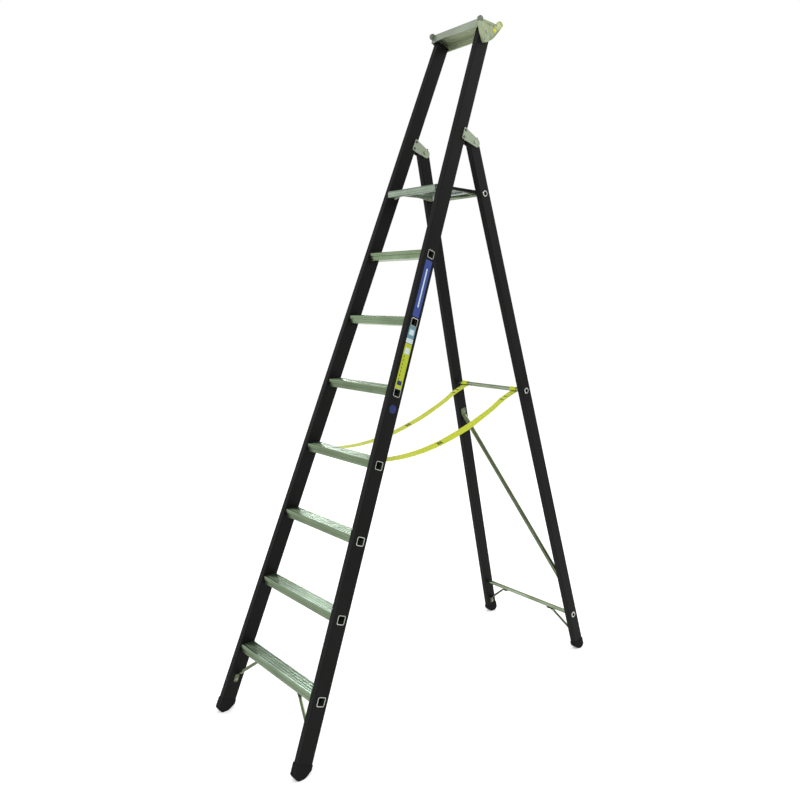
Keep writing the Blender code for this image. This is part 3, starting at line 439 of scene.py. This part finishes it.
def between_walls(name, outline, half_at):
    """A side-view outline extruded from wall to wall; half_at(y, z) is half the walls' distance."""
    rough = 0.1
    piece = extrude(name, [outline], rough, HOME, CRISP)
    for v in piece.data.vertices:
        v.co.x += math.copysign(1, v.co.x) * (half_at(v.co.y + MID_Y, v.co.z) - rough)
    return piece


# ---------------------------------------------------------------- treads

def toothed(points, start, end, z, teeth):
    """Adds a run of small anti-slip teeth along a rib's top."""
    step = (end - start) / teeth
    for i in range(teeth):
        at = start + i * step
        points += [(at + step * 0.10, z - 0.0005), (at + step * 0.30, z), (at + step * 0.70, z),
                   (at + step * 0.90, z - 0.0005)]


def groove(at, z, width, depth, radius, slope):
    """The outline of a groove with round lower corners, from its front to its rear edge."""
    inward, centre = slope + radius, z - depth + radius
    return ([(at, z - 0.0002)] + arc((at + inward, centre), radius, 180, 270, 2)
            + arc((at + width - inward, centre), radius, 270, 360, 2) + [(at + width, z - 0.0002)])


def fine_line(x, z, into, half, flat):
    """A shallow line scored into an upright face at x; half and flat are negative on a downward outline."""
    return [(x, z - half), (x + into, z - flat), (x + into, z + flat), (x, z + half)]


def tread_profile(y, z):
    """A tread's section about its middle: scored apron, lip, grooved and toothed top, and a rear lip."""
    front, back = y - TREAD_FRONT, y + TREAD_BACK
    apron = front + 0.0035
    points = [(apron, z - TREAD_APRON)]
    for i in range(3):
        points += fine_line(apron, z - 0.0255 + i * 0.0042, 0.0005, 0.0006, 0.0003)
    points += [(apron, z - TREAD_LIP)]
    points += arc((front + 0.002, z - TREAD_LIP + 0.002), 0.002, 270, 180, 3)
    points += fine_line(front, z - 0.0078, 0.0005, 0.0007, 0.0003)
    points += arc((front + 0.005, z - 0.005), 0.005, 180, 90, 7)
    width = 0.0040
    for i in range(GROOVES):
        at = front + 0.0075 + i * GROOVE_PITCH
        points += groove(at, z, width, 0.0018, 0.0007, 0.0005)
        if i < GROOVES - 1:
            toothed(points, at + width, at + GROOVE_PITCH, z, 4)
    toothed(points, at + width, back - 0.0015, z, 3)
    points += arc((back - 0.0012, z - 0.0012), 0.0012, 90, 0, 2)
    points += [(back, z - 0.010), (back - 0.0025, z - 0.010), (back - 0.0025, z - TREAD_SKIN)]
    return points + [(apron + 0.0025, z - TREAD_SKIN), (apron + 0.0025, z - TREAD_APRON)]


def make_tread(k):
    """A tread plate, the square tube under it, and the tube's flared collars outside both stiles."""
    z = k * PITCH
    profile = tread_profile(STILE_LEAN * z, z)
    plate = between_walls(f"tread_{k}_plate", profile, lambda _, height: stile_inner(height) - GAP)
    finished(plate, "across", "front_frame", f"tread_{k}", slot="aluminium")
    # faces that look forward take the darker apron copy: painted shade
    toned(plate, "apron", lambda n: n.y < -0.6)
    centre = Vector((0, STILE_LEAN * (z - TUBE_DROP) - MID_Y, z - TUBE_DROP))
    turn = Matrix.Rotation(-LEAN_ANGLE, 4, "X")
    hollow = TUBE_SIDE - 2 * TUBE_WALL
    opening = rounded(hollow, hollow, TUBE_ROUND - TUBE_WALL)
    outlines = [rounded(TUBE_SIDE, TUBE_SIDE, TUBE_ROUND), opening]
    at = Matrix.Translation(centre) @ turn @ SIDE_VIEW
    tube = extrude(f"tread_{k}_tube", outlines, stile_outer(centre.z), at, CRISP)
    finished(tube, "tube", "front_frame", slot="aluminium")
    for side, word in SIDES:
        local = stile_frame(side).inverted() @ Vector((side * stile_outer(centre.z), centre.y, centre.z))
        local.x += side * (GAP + COLLAR_THICK / 2)
        at = stile_frame(side) @ Matrix.Translation(local) @ SIDE_VIEW
        ring = [rounded(COLLAR_SIDE, COLLAR_SIDE, COLLAR_ROUND), opening]
        collar = extrude(f"tread_{k}_{word}_collar", ring, COLLAR_THICK / 2, at, 0.0005)
        finished(collar, "collar", "front_frame", slot="aluminium")


# ---------------------------------------------------------------- platform

def platform_half(y, _):
    share = (y - PLATFORM_FRONT) / (PLATFORM_BACK - PLATFORM_FRONT)
    return PLATFORM_HALF_FRONT + (PLATFORM_HALF_BACK - PLATFORM_HALF_FRONT) * share


def make_nosing():
    """The rounded front section, with three shallow grooves on top and three fine lines along its front."""
    top, low, front = PLATFORM_Z + 0.001, PLATFORM_Z - 0.026, PLATFORM_FRONT
    outline = [(NOSING_BACK, top - 0.0004)]
    grooves = []
    for i in range(3):
        at = front + 0.0115 + i * 0.0058
        grooves += [(at, top), (at + 0.0004, top - 0.0010), (at + 0.0022, top - 0.0010), (at + 0.0026, top)]
    outline += reversed(grooves)
    outline += arc((front + 0.010, top - 0.010), 0.010, 100, 180, 9)
    for i in range(3):
        outline += fine_line(front, top - 0.0131 - i * 0.0028, 0.0005, -0.0006, -0.0003)
    outline += arc((front + 0.006, low + 0.006), 0.006, 180, 270, 6)
    outline += [(front + 0.012, low), (front + 0.012, low + 0.0025), (front + 0.007, low + 0.0025)]
    outline += [(front + 0.003, low + 0.008), (front + 0.003, top - 0.010), (front + 0.009, top - 0.0035)]
    outline += [(NOSING_BACK, top - 0.0035)]
    nosing = between_walls("platform_nosing_edge", outline, platform_half)
    finished(nosing, "nosing", "platform", "platform_nosing", slot="aluminium")


def make_deck():
    """The grooved and toothed deck, with thin dark strips down both sides as painted shade."""
    start, back, z = NOSING_BACK + GAP, PLATFORM_BACK, PLATFORM_Z
    outline = [(start, z - DECK_THICK), (start, z - 0.0004)]
    count, width = 11, 0.003
    edge = start + 0.0004
    for i in range(count):
        at = start + (back - start) * (i + 0.7) / (count + 0.4)
        toothed(outline, edge, at, z, 5)
        outline += groove(at, z, width, 0.0012, 0.0005, 0.0003)
        edge = at + width
    toothed(outline, edge, back - 0.002, z, 2)
    outline += arc((back - 0.002, z - 0.002), 0.002, 90, 0, 4) + [(back, z - DECK_THICK)]
    deck = between_walls("platform_deck_plate", outline, platform_half)
    finished(deck, "across", "platform", "platform_deck", slot="aluminium")
    # thin black skins on the deck's two sides: painted shade along its edges
    y0, y1, low, high = NOSING_BACK + 0.002, back - 0.004, z - 0.0115, z - 0.0002
    outline, thin = [(y0, low), (y1, low), (y1, high), (y0, high)], 0.0004
    for side, word in SIDES:
        strip = extrude(f"{word}_deck_side_painted_shade", [outline], thin, HOME, CRISP)
        for v in strip.data.vertices:
            v.co.x += side * (platform_half(v.co.y + MID_Y, v.co.z) + thin)
        finished(strip, "black_rail", "platform", slot="black_rail")


# ---------------------------------------------------------------- top rail, end cap and hook

def make_top_rail():
    """The channel over the stiles' tops: a low front band, a top plate and a deeper rear web."""
    front, back, skin = RAIL_FRONT, RAIL_BACK, RAIL_SKIN
    lip = 0.001  # how far the front band's lower edge stands out
    outline = [(front - lip, RAIL_FRONT_LOW), (front + skin, RAIL_FRONT_LOW), (front + skin, RAIL_TOP - skin)]
    for i in range(5):  # fine lines under the top plate
        at = front + 0.014 + i * 0.010
        outline += [(at, RAIL_TOP - skin), (at + 0.0003, RAIL_TOP - skin + 0.0005),
                    (at + 0.0010, RAIL_TOP - skin + 0.0005), (at + 0.0013, RAIL_TOP - skin)]
    outline += [(back - skin, RAIL_TOP - skin)]
    for drop in (0.0128, 0.0253):  # two lines along the rear web's inner face
        outline += fine_line(back - skin, RAIL_TOP - skin - drop, 0.0006, -0.0008, -0.0004)
    outline += [(back - skin, RAIL_BACK_LOW), (back, RAIL_BACK_LOW)]
    outline += arc((back - 0.003, RAIL_TOP - 0.003), 0.003, 0, 90, 5)
    outline += arc((front + 0.0025, RAIL_TOP - 0.0025), 0.0025, 90, 180, 5)
    outline += fine_line(front, RAIL_TOP - 0.00625, 0.0006, -0.00075, -0.00035)
    outline += [(front, RAIL_FRONT_LOW + 0.0052), (front - lip, RAIL_FRONT_LOW + 0.0040)]
    sin, cos = math.sin(LEAN_ANGLE), math.cos(LEAN_ANGLE)
    side_view = [(s * sin + n * cos, s * cos - n * sin) for n, s in outline]
    rail = between_walls("top_rail_channel", side_view, lambda _, height: stile_outer(height) - 0.0002)
    finished(rail, "rail", "front_frame", "top_rail", slot="aluminium")
    # inner faces that look down or forward behind the front band take the lighter copy: painted light
    toned(rail, "rail_inside_painted_light", lambda n: n.z < -0.5 or n.y < -0.5,
          lambda c: c.y + MID_Y > STILE_LEAN * c.z + RAIL_FRONT + 0.008)


def make_knob(side, word):
    """The domed round end over the rail's front edge."""
    at = on_stile(side, GAP + KNOB_THICK / 2) @ Matrix.Translation((*KNOB, 0))
    half, r = KNOB_THICK / 2, KNOB_R
    profile = [(0, half), (r * 0.55, half - 0.0002)] + arc((r - 0.0035, half - 0.0037), 0.0035, 85, 0, 6)
    profile += [(r, -half + 0.001), (r - 0.001, -half), (0, -half)]
    if side < 0:
        profile = [(radius, -height) for radius, height in reversed(profile)]
    knob = turned(f"{word}_rail_knob", profile, at)
    finished(knob, "grey_plastic", "front_frame", slot="grey_plastic")


def make_end_cap():
    """The plate over the rail's left end, drawn out by the splay along the stile, and its knob."""
    outline = [(RAIL_FRONT, RAIL_FRONT_LOW - 0.002), (RAIL_BACK - 0.004, RAIL_BACK_LOW - 0.004)]
    outline += arc((RAIL_BACK - 0.004, RAIL_BACK_LOW), 0.004, -60, 0, 6)
    outline += arc((RAIL_BACK - 0.006, RAIL_TOP - 0.006), 0.006, 0, 90, 8) + [(RAIL_FRONT, RAIL_TOP)]
    outline = [(n, s * math.hypot(1, STILE_SPLAY)) for n, s in outline]
    cap = extrude("rail_end_cap", [outline], 0.0025, on_stile(-1, GAP + 0.0025), 0.0012)
    finished(cap, "grey_plastic", "front_frame", "left_end_cap", slot="grey_plastic")
    make_knob(-1, "left")


def to_stile(points):
    """Side-view (y, z) as a stile's (n, s)."""
    sin, cos = math.sin(LEAN_ANGLE), math.cos(LEAN_ANGLE)
    return [(y * cos - z * sin, y * sin + z * cos) for y, z in points]


HOOK_TOP = ((0.8700, 2.5180), (0.8800, 2.5240), (0.8970, 2.5238), (0.9280, 2.5224), (0.9520, 2.5206))
HOOK_TIP = ((0.9640, 2.5212), (0.9688, 2.5290), (0.9740, 2.5355), (0.9810, 2.5372), (0.9885, 2.5355),
            (0.9942, 2.5295), (0.9958, 2.5218))
HOOK_BELLY = ((0.9810, 2.5050), (0.9640, 2.4866), (0.9400, 2.4632), (0.9175, 2.4488), (0.9015, 2.4418))
HOOK_FOOT = ((0.8908, 2.4408), (0.8866, 2.4444), (0.8785, 2.4640), (0.8710, 2.4900))
HOOK_PANEL = ((0.8690, 2.5160), (0.8960, 2.5180), (0.9080, 2.4950), (0.9160, 2.4680), (0.9150, 2.4500),
              (0.9060, 2.4450), (0.8925, 2.4430), (0.8800, 2.4650))


def inset(outline, by):
    """A closed outline moved inward along its own normals."""
    points = [Vector(p) for p in outline]
    area = sum(a.x * b.y - b.x * a.y for a, b in zip(points, points[1:] + points[:1]))
    moved = []
    for i, point in enumerate(points):
        run = (points[(i + 1) % len(points)] - points[i - 1]).normalized()
        moved.append(point + Vector((-run.y, run.x)) * math.copysign(by, area))
    return moved


def make_hook():
    """A moulded bucket hook: a body plate, its rim, a panel, a saddle ledge, ribs and an olive plug."""
    whole = curved(HOOK_TOP + HOOK_TIP + HOOK_BELLY + HOOK_FOOT, 4)

    def layer(name, outlines, low, high, edge):
        outlines = [to_stile(reversed(outline)) for outline in outlines]
        piece = extrude(name, outlines, (high - low) / 2, on_stile(1, GAP + (low + high) / 2), edge)
        finished(piece, "hook_plastic", "front_frame", slot="hook_plastic")
        toned(piece, "hook_tip", where=lambda c: c.y + MID_Y > 0.962 and c.z > 2.500)
        return piece

    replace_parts(layer("bucket_hook_body", [whole], 0, HOOK_BODY, 0.0010), "bucket_hook")
    layer("bucket_hook_rim", [whole, inset(whole, HOOK_RIM)], HOOK_BODY - 0.0010, HOOK_THICK, 0.0009)
    layer("bucket_hook_panel", [curved(HOOK_PANEL, 4)], HOOK_BODY - 0.0005, HOOK_THICK - 0.0001, 0.0008)
    ledge = curved([(y, z - HOOK_RIM + 0.0004) for y, z in HOOK_TOP[2:]], 4, False)
    ledge += [(y, z - 0.0065) for y, z in reversed(ledge)]
    layer("bucket_hook_saddle", [ledge], HOOK_BODY - 0.0005, HOOK_THICK - 0.0008, 0.0007)
    for i, (start, end) in enumerate((((0.925, 2.514), (0.930, 2.462)), ((0.940, 2.513), (0.966, 2.492)))):
        a, b = Vector(start), Vector(end)
        across = (b - a).orthogonal().normalized() * 0.0009
        bar = [a - across, b - across, b + across, a + across]
        layer(f"bucket_hook_rib_{i + 1}", [bar], HOOK_BODY - 0.0004, HOOK_BODY + 0.0008, 0.0004)
    spot = to_stile([(0.9520, 2.4960)])[0]
    at = on_stile(1, GAP + HOOK_BODY) @ Matrix.Translation((*spot, 0))
    r, sunk = 0.0084, -0.0006
    profile = [(0, 0.0024), (0.0045, 0.0023), (0.0070, 0.0016), (r, 0.0003), (r, sunk), (0, sunk)]
    finished(turned("bucket_hook_plug", profile, at), "hook_spot", "front_frame", slot="hook_plastic")
    make_knob(1, "right")


# ---------------------------------------------------------------- feet

FEET = {  # the rail's half distance, splay, lean, foot line, depth, thickness; the shoe's height, sole's rise
    "front": (STILE_HALF, STILE_SPLAY, STILE_LEAN, 0, STILE_DEPTH, STILE_THICK, 0.052, 0.0175),
    "rear": (LEG_HALF, LEG_SPLAY, LEG_LEAN, LEG_FOOT_Y, LEG_DEPTH, LEG_THICK, 0.042, 0.0140),
}


def make_foot(side, word, end):
    """A moulded rubber shoe whose round, grooved sole follows the rail's lean."""
    outer, splay, lean, foot_y, depth, thick, height, rise = FEET[end]
    flat = 0.2  # the share of the sole that lies flat on the floor
    reach = depth / 2 * math.hypot(1, lean) + SHOE_WALL
    curve = []
    for i in range(SHOE_GROOVES + 1):
        u = -1 + 2 * i / SHOE_GROOVES
        z = rise * (max(abs(u) - flat, 0) / (1 - flat)) ** 1.7
        y = u * reach + lean * z
        if 0 < i < SHOE_GROOVES and i % 2 == 0:
            curve += [(y - 0.0007, z), (y - 0.0004, z + 0.0013), (y + 0.0004, z + 0.0013), (y + 0.0007, z)]
        else:
            curve.append((y, z))
    low = height - 1.8 * reach * abs(lean)
    high_y, low_y = math.copysign(reach, -lean), math.copysign(reach, lean)
    high, short = (high_y + lean * height, height), (low_y + lean * low, low)
    top = [short, high] if lean > 0 else [high, short]
    outline = [(foot_y + y, z) for y, z in curve + top]
    at = Matrix.Translation((side * (outer - thick / 2), -MID_Y, 0)) @ SIDE_VIEW
    foot = extrude(f"{word}_{end}_shoe", [outline], thick / 2 + SHOE_WALL, at, 0.0007)
    for v in foot.data.vertices:
        v.co.x -= side * splay * v.co.z
        v.co.z = max(v.co.z, 0)
    body = "front_frame" if end == "front" else "back_frame"
    finished(foot, "rubber", body, f"{word}_{end}_foot", slot="rubber")


# ---------------------------------------------------------------- straps

STRAP_X, STRAP_WIDTH, STRAP_THICK, STRAP_TREAD = 0.137, 0.030, 0.0016, 4
STRAP_ROLL = {"left": math.radians(5), "right": math.radians(14)}
STRAP_MARK_Y = {"left": 0.769, "right": 0.690}
STRAP_LINE = ((1.024, 1.088), (0.965, 1.056), (0.906, 1.029), (0.846, 1.003), (0.784, 0.981), (0.708, 0.9575),
              (0.645, 0.943), (0.588, 0.933), (0.517, 0.926), (0.455, 0.925), (0.410, 0.9275))

# The upper side of a band's section, as shares of its half width and half thickness.
SELVEDGE = ((-1, 0), (-0.985, 1), (-0.90, 1.1), (-0.86, 0.8), (-0.4, 0.95), (0, 1), (0.4, 0.95), (0.86, 0.8),
            (0.90, 1.1), (0.985, 1))


def ribbon(name, line, width, thick, x, rolls=None):
    """A flat woven band along a side-view line, rolled about it, with thicker selvedges."""
    half, t = width / 2, thick / 2
    section = [(share * half, rise * t) for share, rise in SELVEDGE]
    section += [(-u, -v) for u, v in section]
    bm = bmesh.new()
    rings = []
    points = [Vector((0, y - MID_Y, z)) for y, z in line]
    for i, point in enumerate(points):
        run = points[min(i + 1, len(points) - 1)] - points[max(i - 1, 0)]
        below = run.cross(Vector((1, 0, 0))).normalized()
        roll = rolls[i] if rolls else 0
        across = Vector((math.cos(roll), 0, 0)) + below * math.sin(roll)
        up = run.cross(across).normalized()
        rings.append([bm.verts.new(point + Vector((x, 0, 0)) + across * u + up * v) for u, v in section])
    count = len(section)
    for low, high in zip(rings, rings[1:]):
        for i in range(count):
            j = (i + 1) % count
            bm.faces.new((low[i], low[j], high[j], high[i]))
    bm.faces.new(rings[0])
    bm.faces.new(rings[-1])
    bmesh.ops.recalc_face_normals(bm, faces=bm.faces)
    return from_bmesh(name, bm)


def smooth(share):
    share = min(max(share, 0), 1)
    return share * share * (3 - 2 * share)


def side_axes(a, b):
    """The unit direction of a run in side view, and the one that points up from it."""
    run = (b - a).normalized()
    return run, Vector((-run.y, run.x))


def stitched(name, middle, run, reach, width, thick, x, rolls=None):
    """A short dark patch of thread on a strap."""
    patch = ribbon(name, [middle - run * reach, middle, middle + run * reach], width, thick, x, rolls)
    return finished(patch, "thread", None, slot="webbing")


def strap_end(word, x, free):
    """The end that is turned back and sewn down on the strap's upper face, with two dark bar tacks."""
    line = []
    for i in range(-12, 0):
        _, above = side_axes(free[i - 1], free[i])
        line.append(free[i] + above * (STRAP_THICK + 0.0001))
    tail = ribbon(f"{word}_strap_sewn_end", line, STRAP_WIDTH * 0.985, STRAP_THICK, x)
    pieces = [finished(tail, "webbing", None, slot="webbing")]
    for i, at in enumerate((1, 4)):
        run, above = side_axes(line[at], line[at + 1])
        middle = line[at] + above * (STRAP_THICK / 2 + 0.0002)
        name = f"{word}_strap_tack_{i + 1}"
        pieces.append(stitched(name, middle, run, 0.0022, STRAP_WIDTH * 0.72, 0.0007, x))
    return pieces


def strap_marks(word, x, free, rolls):
    """Two plain dark marks on the strap's upper face."""
    nearest = min(range(1, len(free) - 1), key=lambda i: abs(free[i].x - STRAP_MARK_Y[word]))
    roll, proud = rolls[nearest], STRAP_THICK / 2 + 0.0003
    run, above = side_axes(free[nearest], free[nearest + 1])
    pieces = []
    for i, along in enumerate((-0.0065, 0.0065)):
        middle = free[nearest] + above * math.cos(roll) * proud + run * along
        pieces.append(stitched(f"{word}_strap_mark_{i + 1}", middle, run, 0.0050, STRAP_WIDTH * 0.5, 0.0006,
                               x + math.sin(roll) * proud, [roll] * 3))
    return pieces


def make_strap(side, word):
    """A stay strap: a tab on the tread's tube, the free webbing, a loop round the rear bar and a sewn end."""
    z = STRAP_TREAD * PITCH - TUBE_DROP
    off_tube = TUBE_SIDE / 2 + GAP + 0.0011  # to the middle of the tab's thickness
    seat = Vector((STILE_LEAN * z, z)) + STILE_BACK * off_tube
    bar = Vector((LEG_FOOT_Y + LEG_LEAN * STRAP_BAR_Z, STRAP_BAR_Z))
    x = side * STRAP_X
    tab_line = [seat + STILE_UP * (0.0024 * i - 0.010) for i in range(9)]
    tab = ribbon(f"{word}_strap_tab", tab_line, STRAP_WIDTH, 0.0021, x)
    finished(tab, "webbing", "front_frame", slot="webbing")
    start, turn = -105, 300  # degrees round the bar
    loop_line = [Vector(p) for p in arc(bar, BAR_R + GAP + STRAP_THICK / 2, start, start + turn, 30)]
    sag = [Vector(p) for p in reversed(STRAP_LINE)]
    free = curved([tab_line[-1]] + sag + [loop_line[0]], 10, False)
    count = len(free)
    rolls = [STRAP_ROLL[word] * smooth(i / (0.12 * count)) * smooth((count - 14 - i) / (0.3 * count))
             for i in range(count)]
    strap = ribbon(f"{word}_strap_webbing", free, STRAP_WIDTH, STRAP_THICK, x, rolls)
    finished(strap, "webbing", None, f"{word}_strap", slot="webbing")
    loop = ribbon(f"{word}_strap_loop", loop_line, STRAP_WIDTH * 0.995, STRAP_THICK, x)
    finished(loop, "webbing", "back_frame", slot="webbing")
    sewn = strap_end(word, x, free) + strap_marks(word, x, free, rolls)
    for piece in [strap] + sewn:
        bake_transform(piece)


# ---------------------------------------------------------------- labels

def make_labels():
    """Plain colour bands on the right stile's outer face, with no lettering."""
    spread = math.sqrt(1 + STILE_LEAN**2 + STILE_SPLAY**2)  # a stile's length for each metre of height
    width, film, glue = 0.030, 0.00012, 0.00005
    bands = (  # name, material, lowest and highest height, width, and the layer that it lies on
        ("blue_label", "blue_film", 1.422, 1.619, width, 0),
        ("teal_label", "teal_film", 1.348, 1.390, width, 0),
        ("white_label", "white_film", 1.332, 1.3475, width, 0),
        ("yellow_label", "yellow_film", 1.178, 1.3305, width, 0),
        ("blue_label_bar", "white_film", 1.455, 1.590, 0.006, 1),
        ("teal_label_bar", "white_film", 1.360, 1.378, 0.020, 1),
        ("yellow_label_upper_bar", "white_film", 1.296, 1.316, 0.020, 1),
        ("yellow_label_lower_bar", "navy_film", 1.192, 1.206, 0.020, 1),
    )
    for name, mat, low, high, across, layer in bands:
        middle, length = (low + high) / 2 * spread, (high - low) * spread
        outline = [(u, middle + v) for u, v in rounded(across, length, 0.0025)]
        label = extrude(name, [outline], film, on_stile(1, (1 + 2 * layer) * film + glue), glue)
        finished(label, mat, "front_frame")
    for i in range(7):  # short plain dark lines down the yellow label
        dash = [(u - 0.007, (1.286 - i * 0.0125) * spread + v) for u, v in rounded(0.0028, 0.0085, 0.001)]
        mark = extrude(f"yellow_label_line_{i + 1}", [dash], film, on_stile(1, 3 * film + glue), glue)
        finished(mark, "label_print", "front_frame")
    at = on_stile(1, glue) @ Matrix.Translation((0, 1.112 * spread, 0))
    r = 0.0148
    dot = turned("blue_dot_label", [(0, 2 * film), (r - 0.0003, 2 * film), (r, film), (r, 0), (0, 0)], at, 48)
    finished(dot, "navy_film", "front_frame")


# ---------------------------------------------------------------- CAD nodes with softened edges

# The tubes with flared ends, the nodes with a finish of their own, and those that a piece above stands for.
FLANGED = ("platform_rod", "strap_bar", "lower_bar")
FINISHES = {name: "tube" for name in FLANGED} | {"diagonal_brace": "strut"}
FINISHES |= {f"{word}_{at}_brace": "strut" for _, word in SIDES for at in ("tread", "bar")}
FINISHES |= {f"{word}_pivot_bolt": "aluminium" for _, word in SIDES}
FINISHES |= {f"{word}_{at}_plate_rivet": "dark_rivet" for _, word in SIDES for at in ("upper", "lower")}
REPLACED = {"top_rail", "left_end_cap", "bucket_hook", "platform_nosing", "platform_deck"}
REPLACED |= {f"{word}_strap" for _, word in SIDES}
REPLACED |= {f"tread_{k}" for k in range(1, TREADS + 1)}
REPLACED |= {f"{word}_{end}_foot" for _, word in SIDES for end in ("front", "rear")}


def soften(name, mat, slot):
    """A copy of a CAD node with its edges rounded over, which stands for it."""
    node = NODES[name]
    mesh = node.data.copy()
    bm = bmesh.new()
    bm.from_mesh(mesh)
    bmesh.ops.remove_doubles(bm, verts=bm.verts, dist=1e-5)
    bmesh.ops.dissolve_limit(bm, angle_limit=math.radians(0.5), verts=bm.verts, edges=bm.edges)
    bm.to_mesh(mesh)
    bm.free()
    obj = link(f"{name}_finish", mesh)
    step = obj.modifiers.new("soft_edges", "BEVEL")
    step.limit_method, step.angle_limit = "ANGLE", math.radians(40)
    step.width, step.segments = 0.0005, 2
    obj = finished(applied(obj), mat, node["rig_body"], name, slot=slot)
    if name in FLANGED:
        end = max(v.co.x for v in obj.data.vertices) - 0.003
        toned(obj, "collar", where=lambda c: abs(c.x) > end)


# ---------------------------------------------------------------- camera, light and floor

CAMERA_PLACE = Vector((2.1514, -1.2005 - MID_Y, 1.4818))
LIGHTS = (  # name, place, target, size, power
    ("key", (3.5, -3.5, 4.5), (0, 0, 1.2), 2.5, 110),
    ("fill", (-3.5, -3.0, 2.5), (0, 0, 1.0), 3.0, 40),
    ("rim", (1.0, 4.0, 3.5), (0, 0, 1.5), 2.5, 60),
    ("glint", (-3.75, 2.15, 2.45), (0.1, -0.5, 0.7), 0.5, 28),
)


def make_camera():
    """Looks from the right front at about eye height, a little downward, on a normal lens."""
    yaw, pitch, roll = 0.8715, -0.08, 0.0066
    forward = Vector((-math.sin(yaw) * math.cos(pitch), math.cos(yaw) * math.cos(pitch), math.sin(pitch)))
    right = Vector((math.cos(yaw), math.sin(yaw), 0))
    up = right.cross(forward)
    across = right * math.cos(roll) + up * math.sin(roll)
    upward = up * math.cos(roll) - right * math.sin(roll)
    data = bpy.data.cameras.new("camera")
    data.sensor_width, data.lens, data.shift_y = 36, 33.923, -0.05
    camera = bpy.data.objects.new("camera", data)
    turn = Matrix((across, upward, -forward)).transposed().to_4x4()
    camera.matrix_world = Matrix.Translation(CAMERA_PLACE) @ turn
    bpy.context.scene.collection.objects.link(camera)
    bpy.context.scene.camera = camera


def area_light(name, place, target, size, power):
    data = bpy.data.lights.new(name, "AREA")
    data.size, data.energy = size, power
    light = bpy.data.objects.new(name, data)
    light.location = place
    light.rotation_euler = (Vector(target) - Vector(place)).to_track_quat("-Z", "Y").to_euler()
    bpy.context.scene.collection.objects.link(light)


def make_world():
    """A white studio, greyer at the horizon, so that bare metal has something to reflect."""
    world = bpy.data.worlds.new("studio")
    bpy.context.scene.world = world
    world.use_nodes = True
    nodes, links = world.node_tree.nodes, world.node_tree.links
    background = nodes["Background"]
    where, parts = nodes.new("ShaderNodeTexCoord"), nodes.new("ShaderNodeSeparateXYZ")
    links.new(where.outputs["Generated"], parts.inputs["Vector"])
    tone = ramp(nodes, links, parts.outputs["Z"], 0.50, 1.0, 0.0, 0.6)
    seen = nodes.new("ShaderNodeLightPath")
    shown = blended(nodes, links, seen.outputs["Is Camera Ray"], tone, (1, 1, 1))
    links.new(shown, background.inputs["Color"])
    background.inputs["Strength"].default_value = 1.0


def make_stage():
    make_world()
    bpy.context.scene.view_settings.view_transform = "Standard"
    for light in LIGHTS:
        area_light(*light)
    bm = bmesh.new()
    bmesh.ops.create_grid(bm, x_segments=2, y_segments=2, size=40)
    floor = from_bmesh("floor", bm)
    floor.data.materials.append(glowing_floor())


# ---------------------------------------------------------------- the ladder

make_camera()
for side, word in SIDES:
    make_strap(side, word)
for k in range(1, TREADS + 1):
    make_tread(k)
make_nosing()
make_deck()
make_top_rail()
make_end_cap()
make_hook()
for side, word in SIDES:
    for end in FEET:
        make_foot(side, word, end)
make_labels()
for part in frame["record"]["subparts"]:
    name, slot = part["node"], part["material_slot"]
    NODES[name].data.materials.clear()
    NODES[name].data.materials.append(MATERIALS[slot])
    if name not in REPLACED:
        soften(name, FINISHES.get(name, slot), slot)
make_stage()
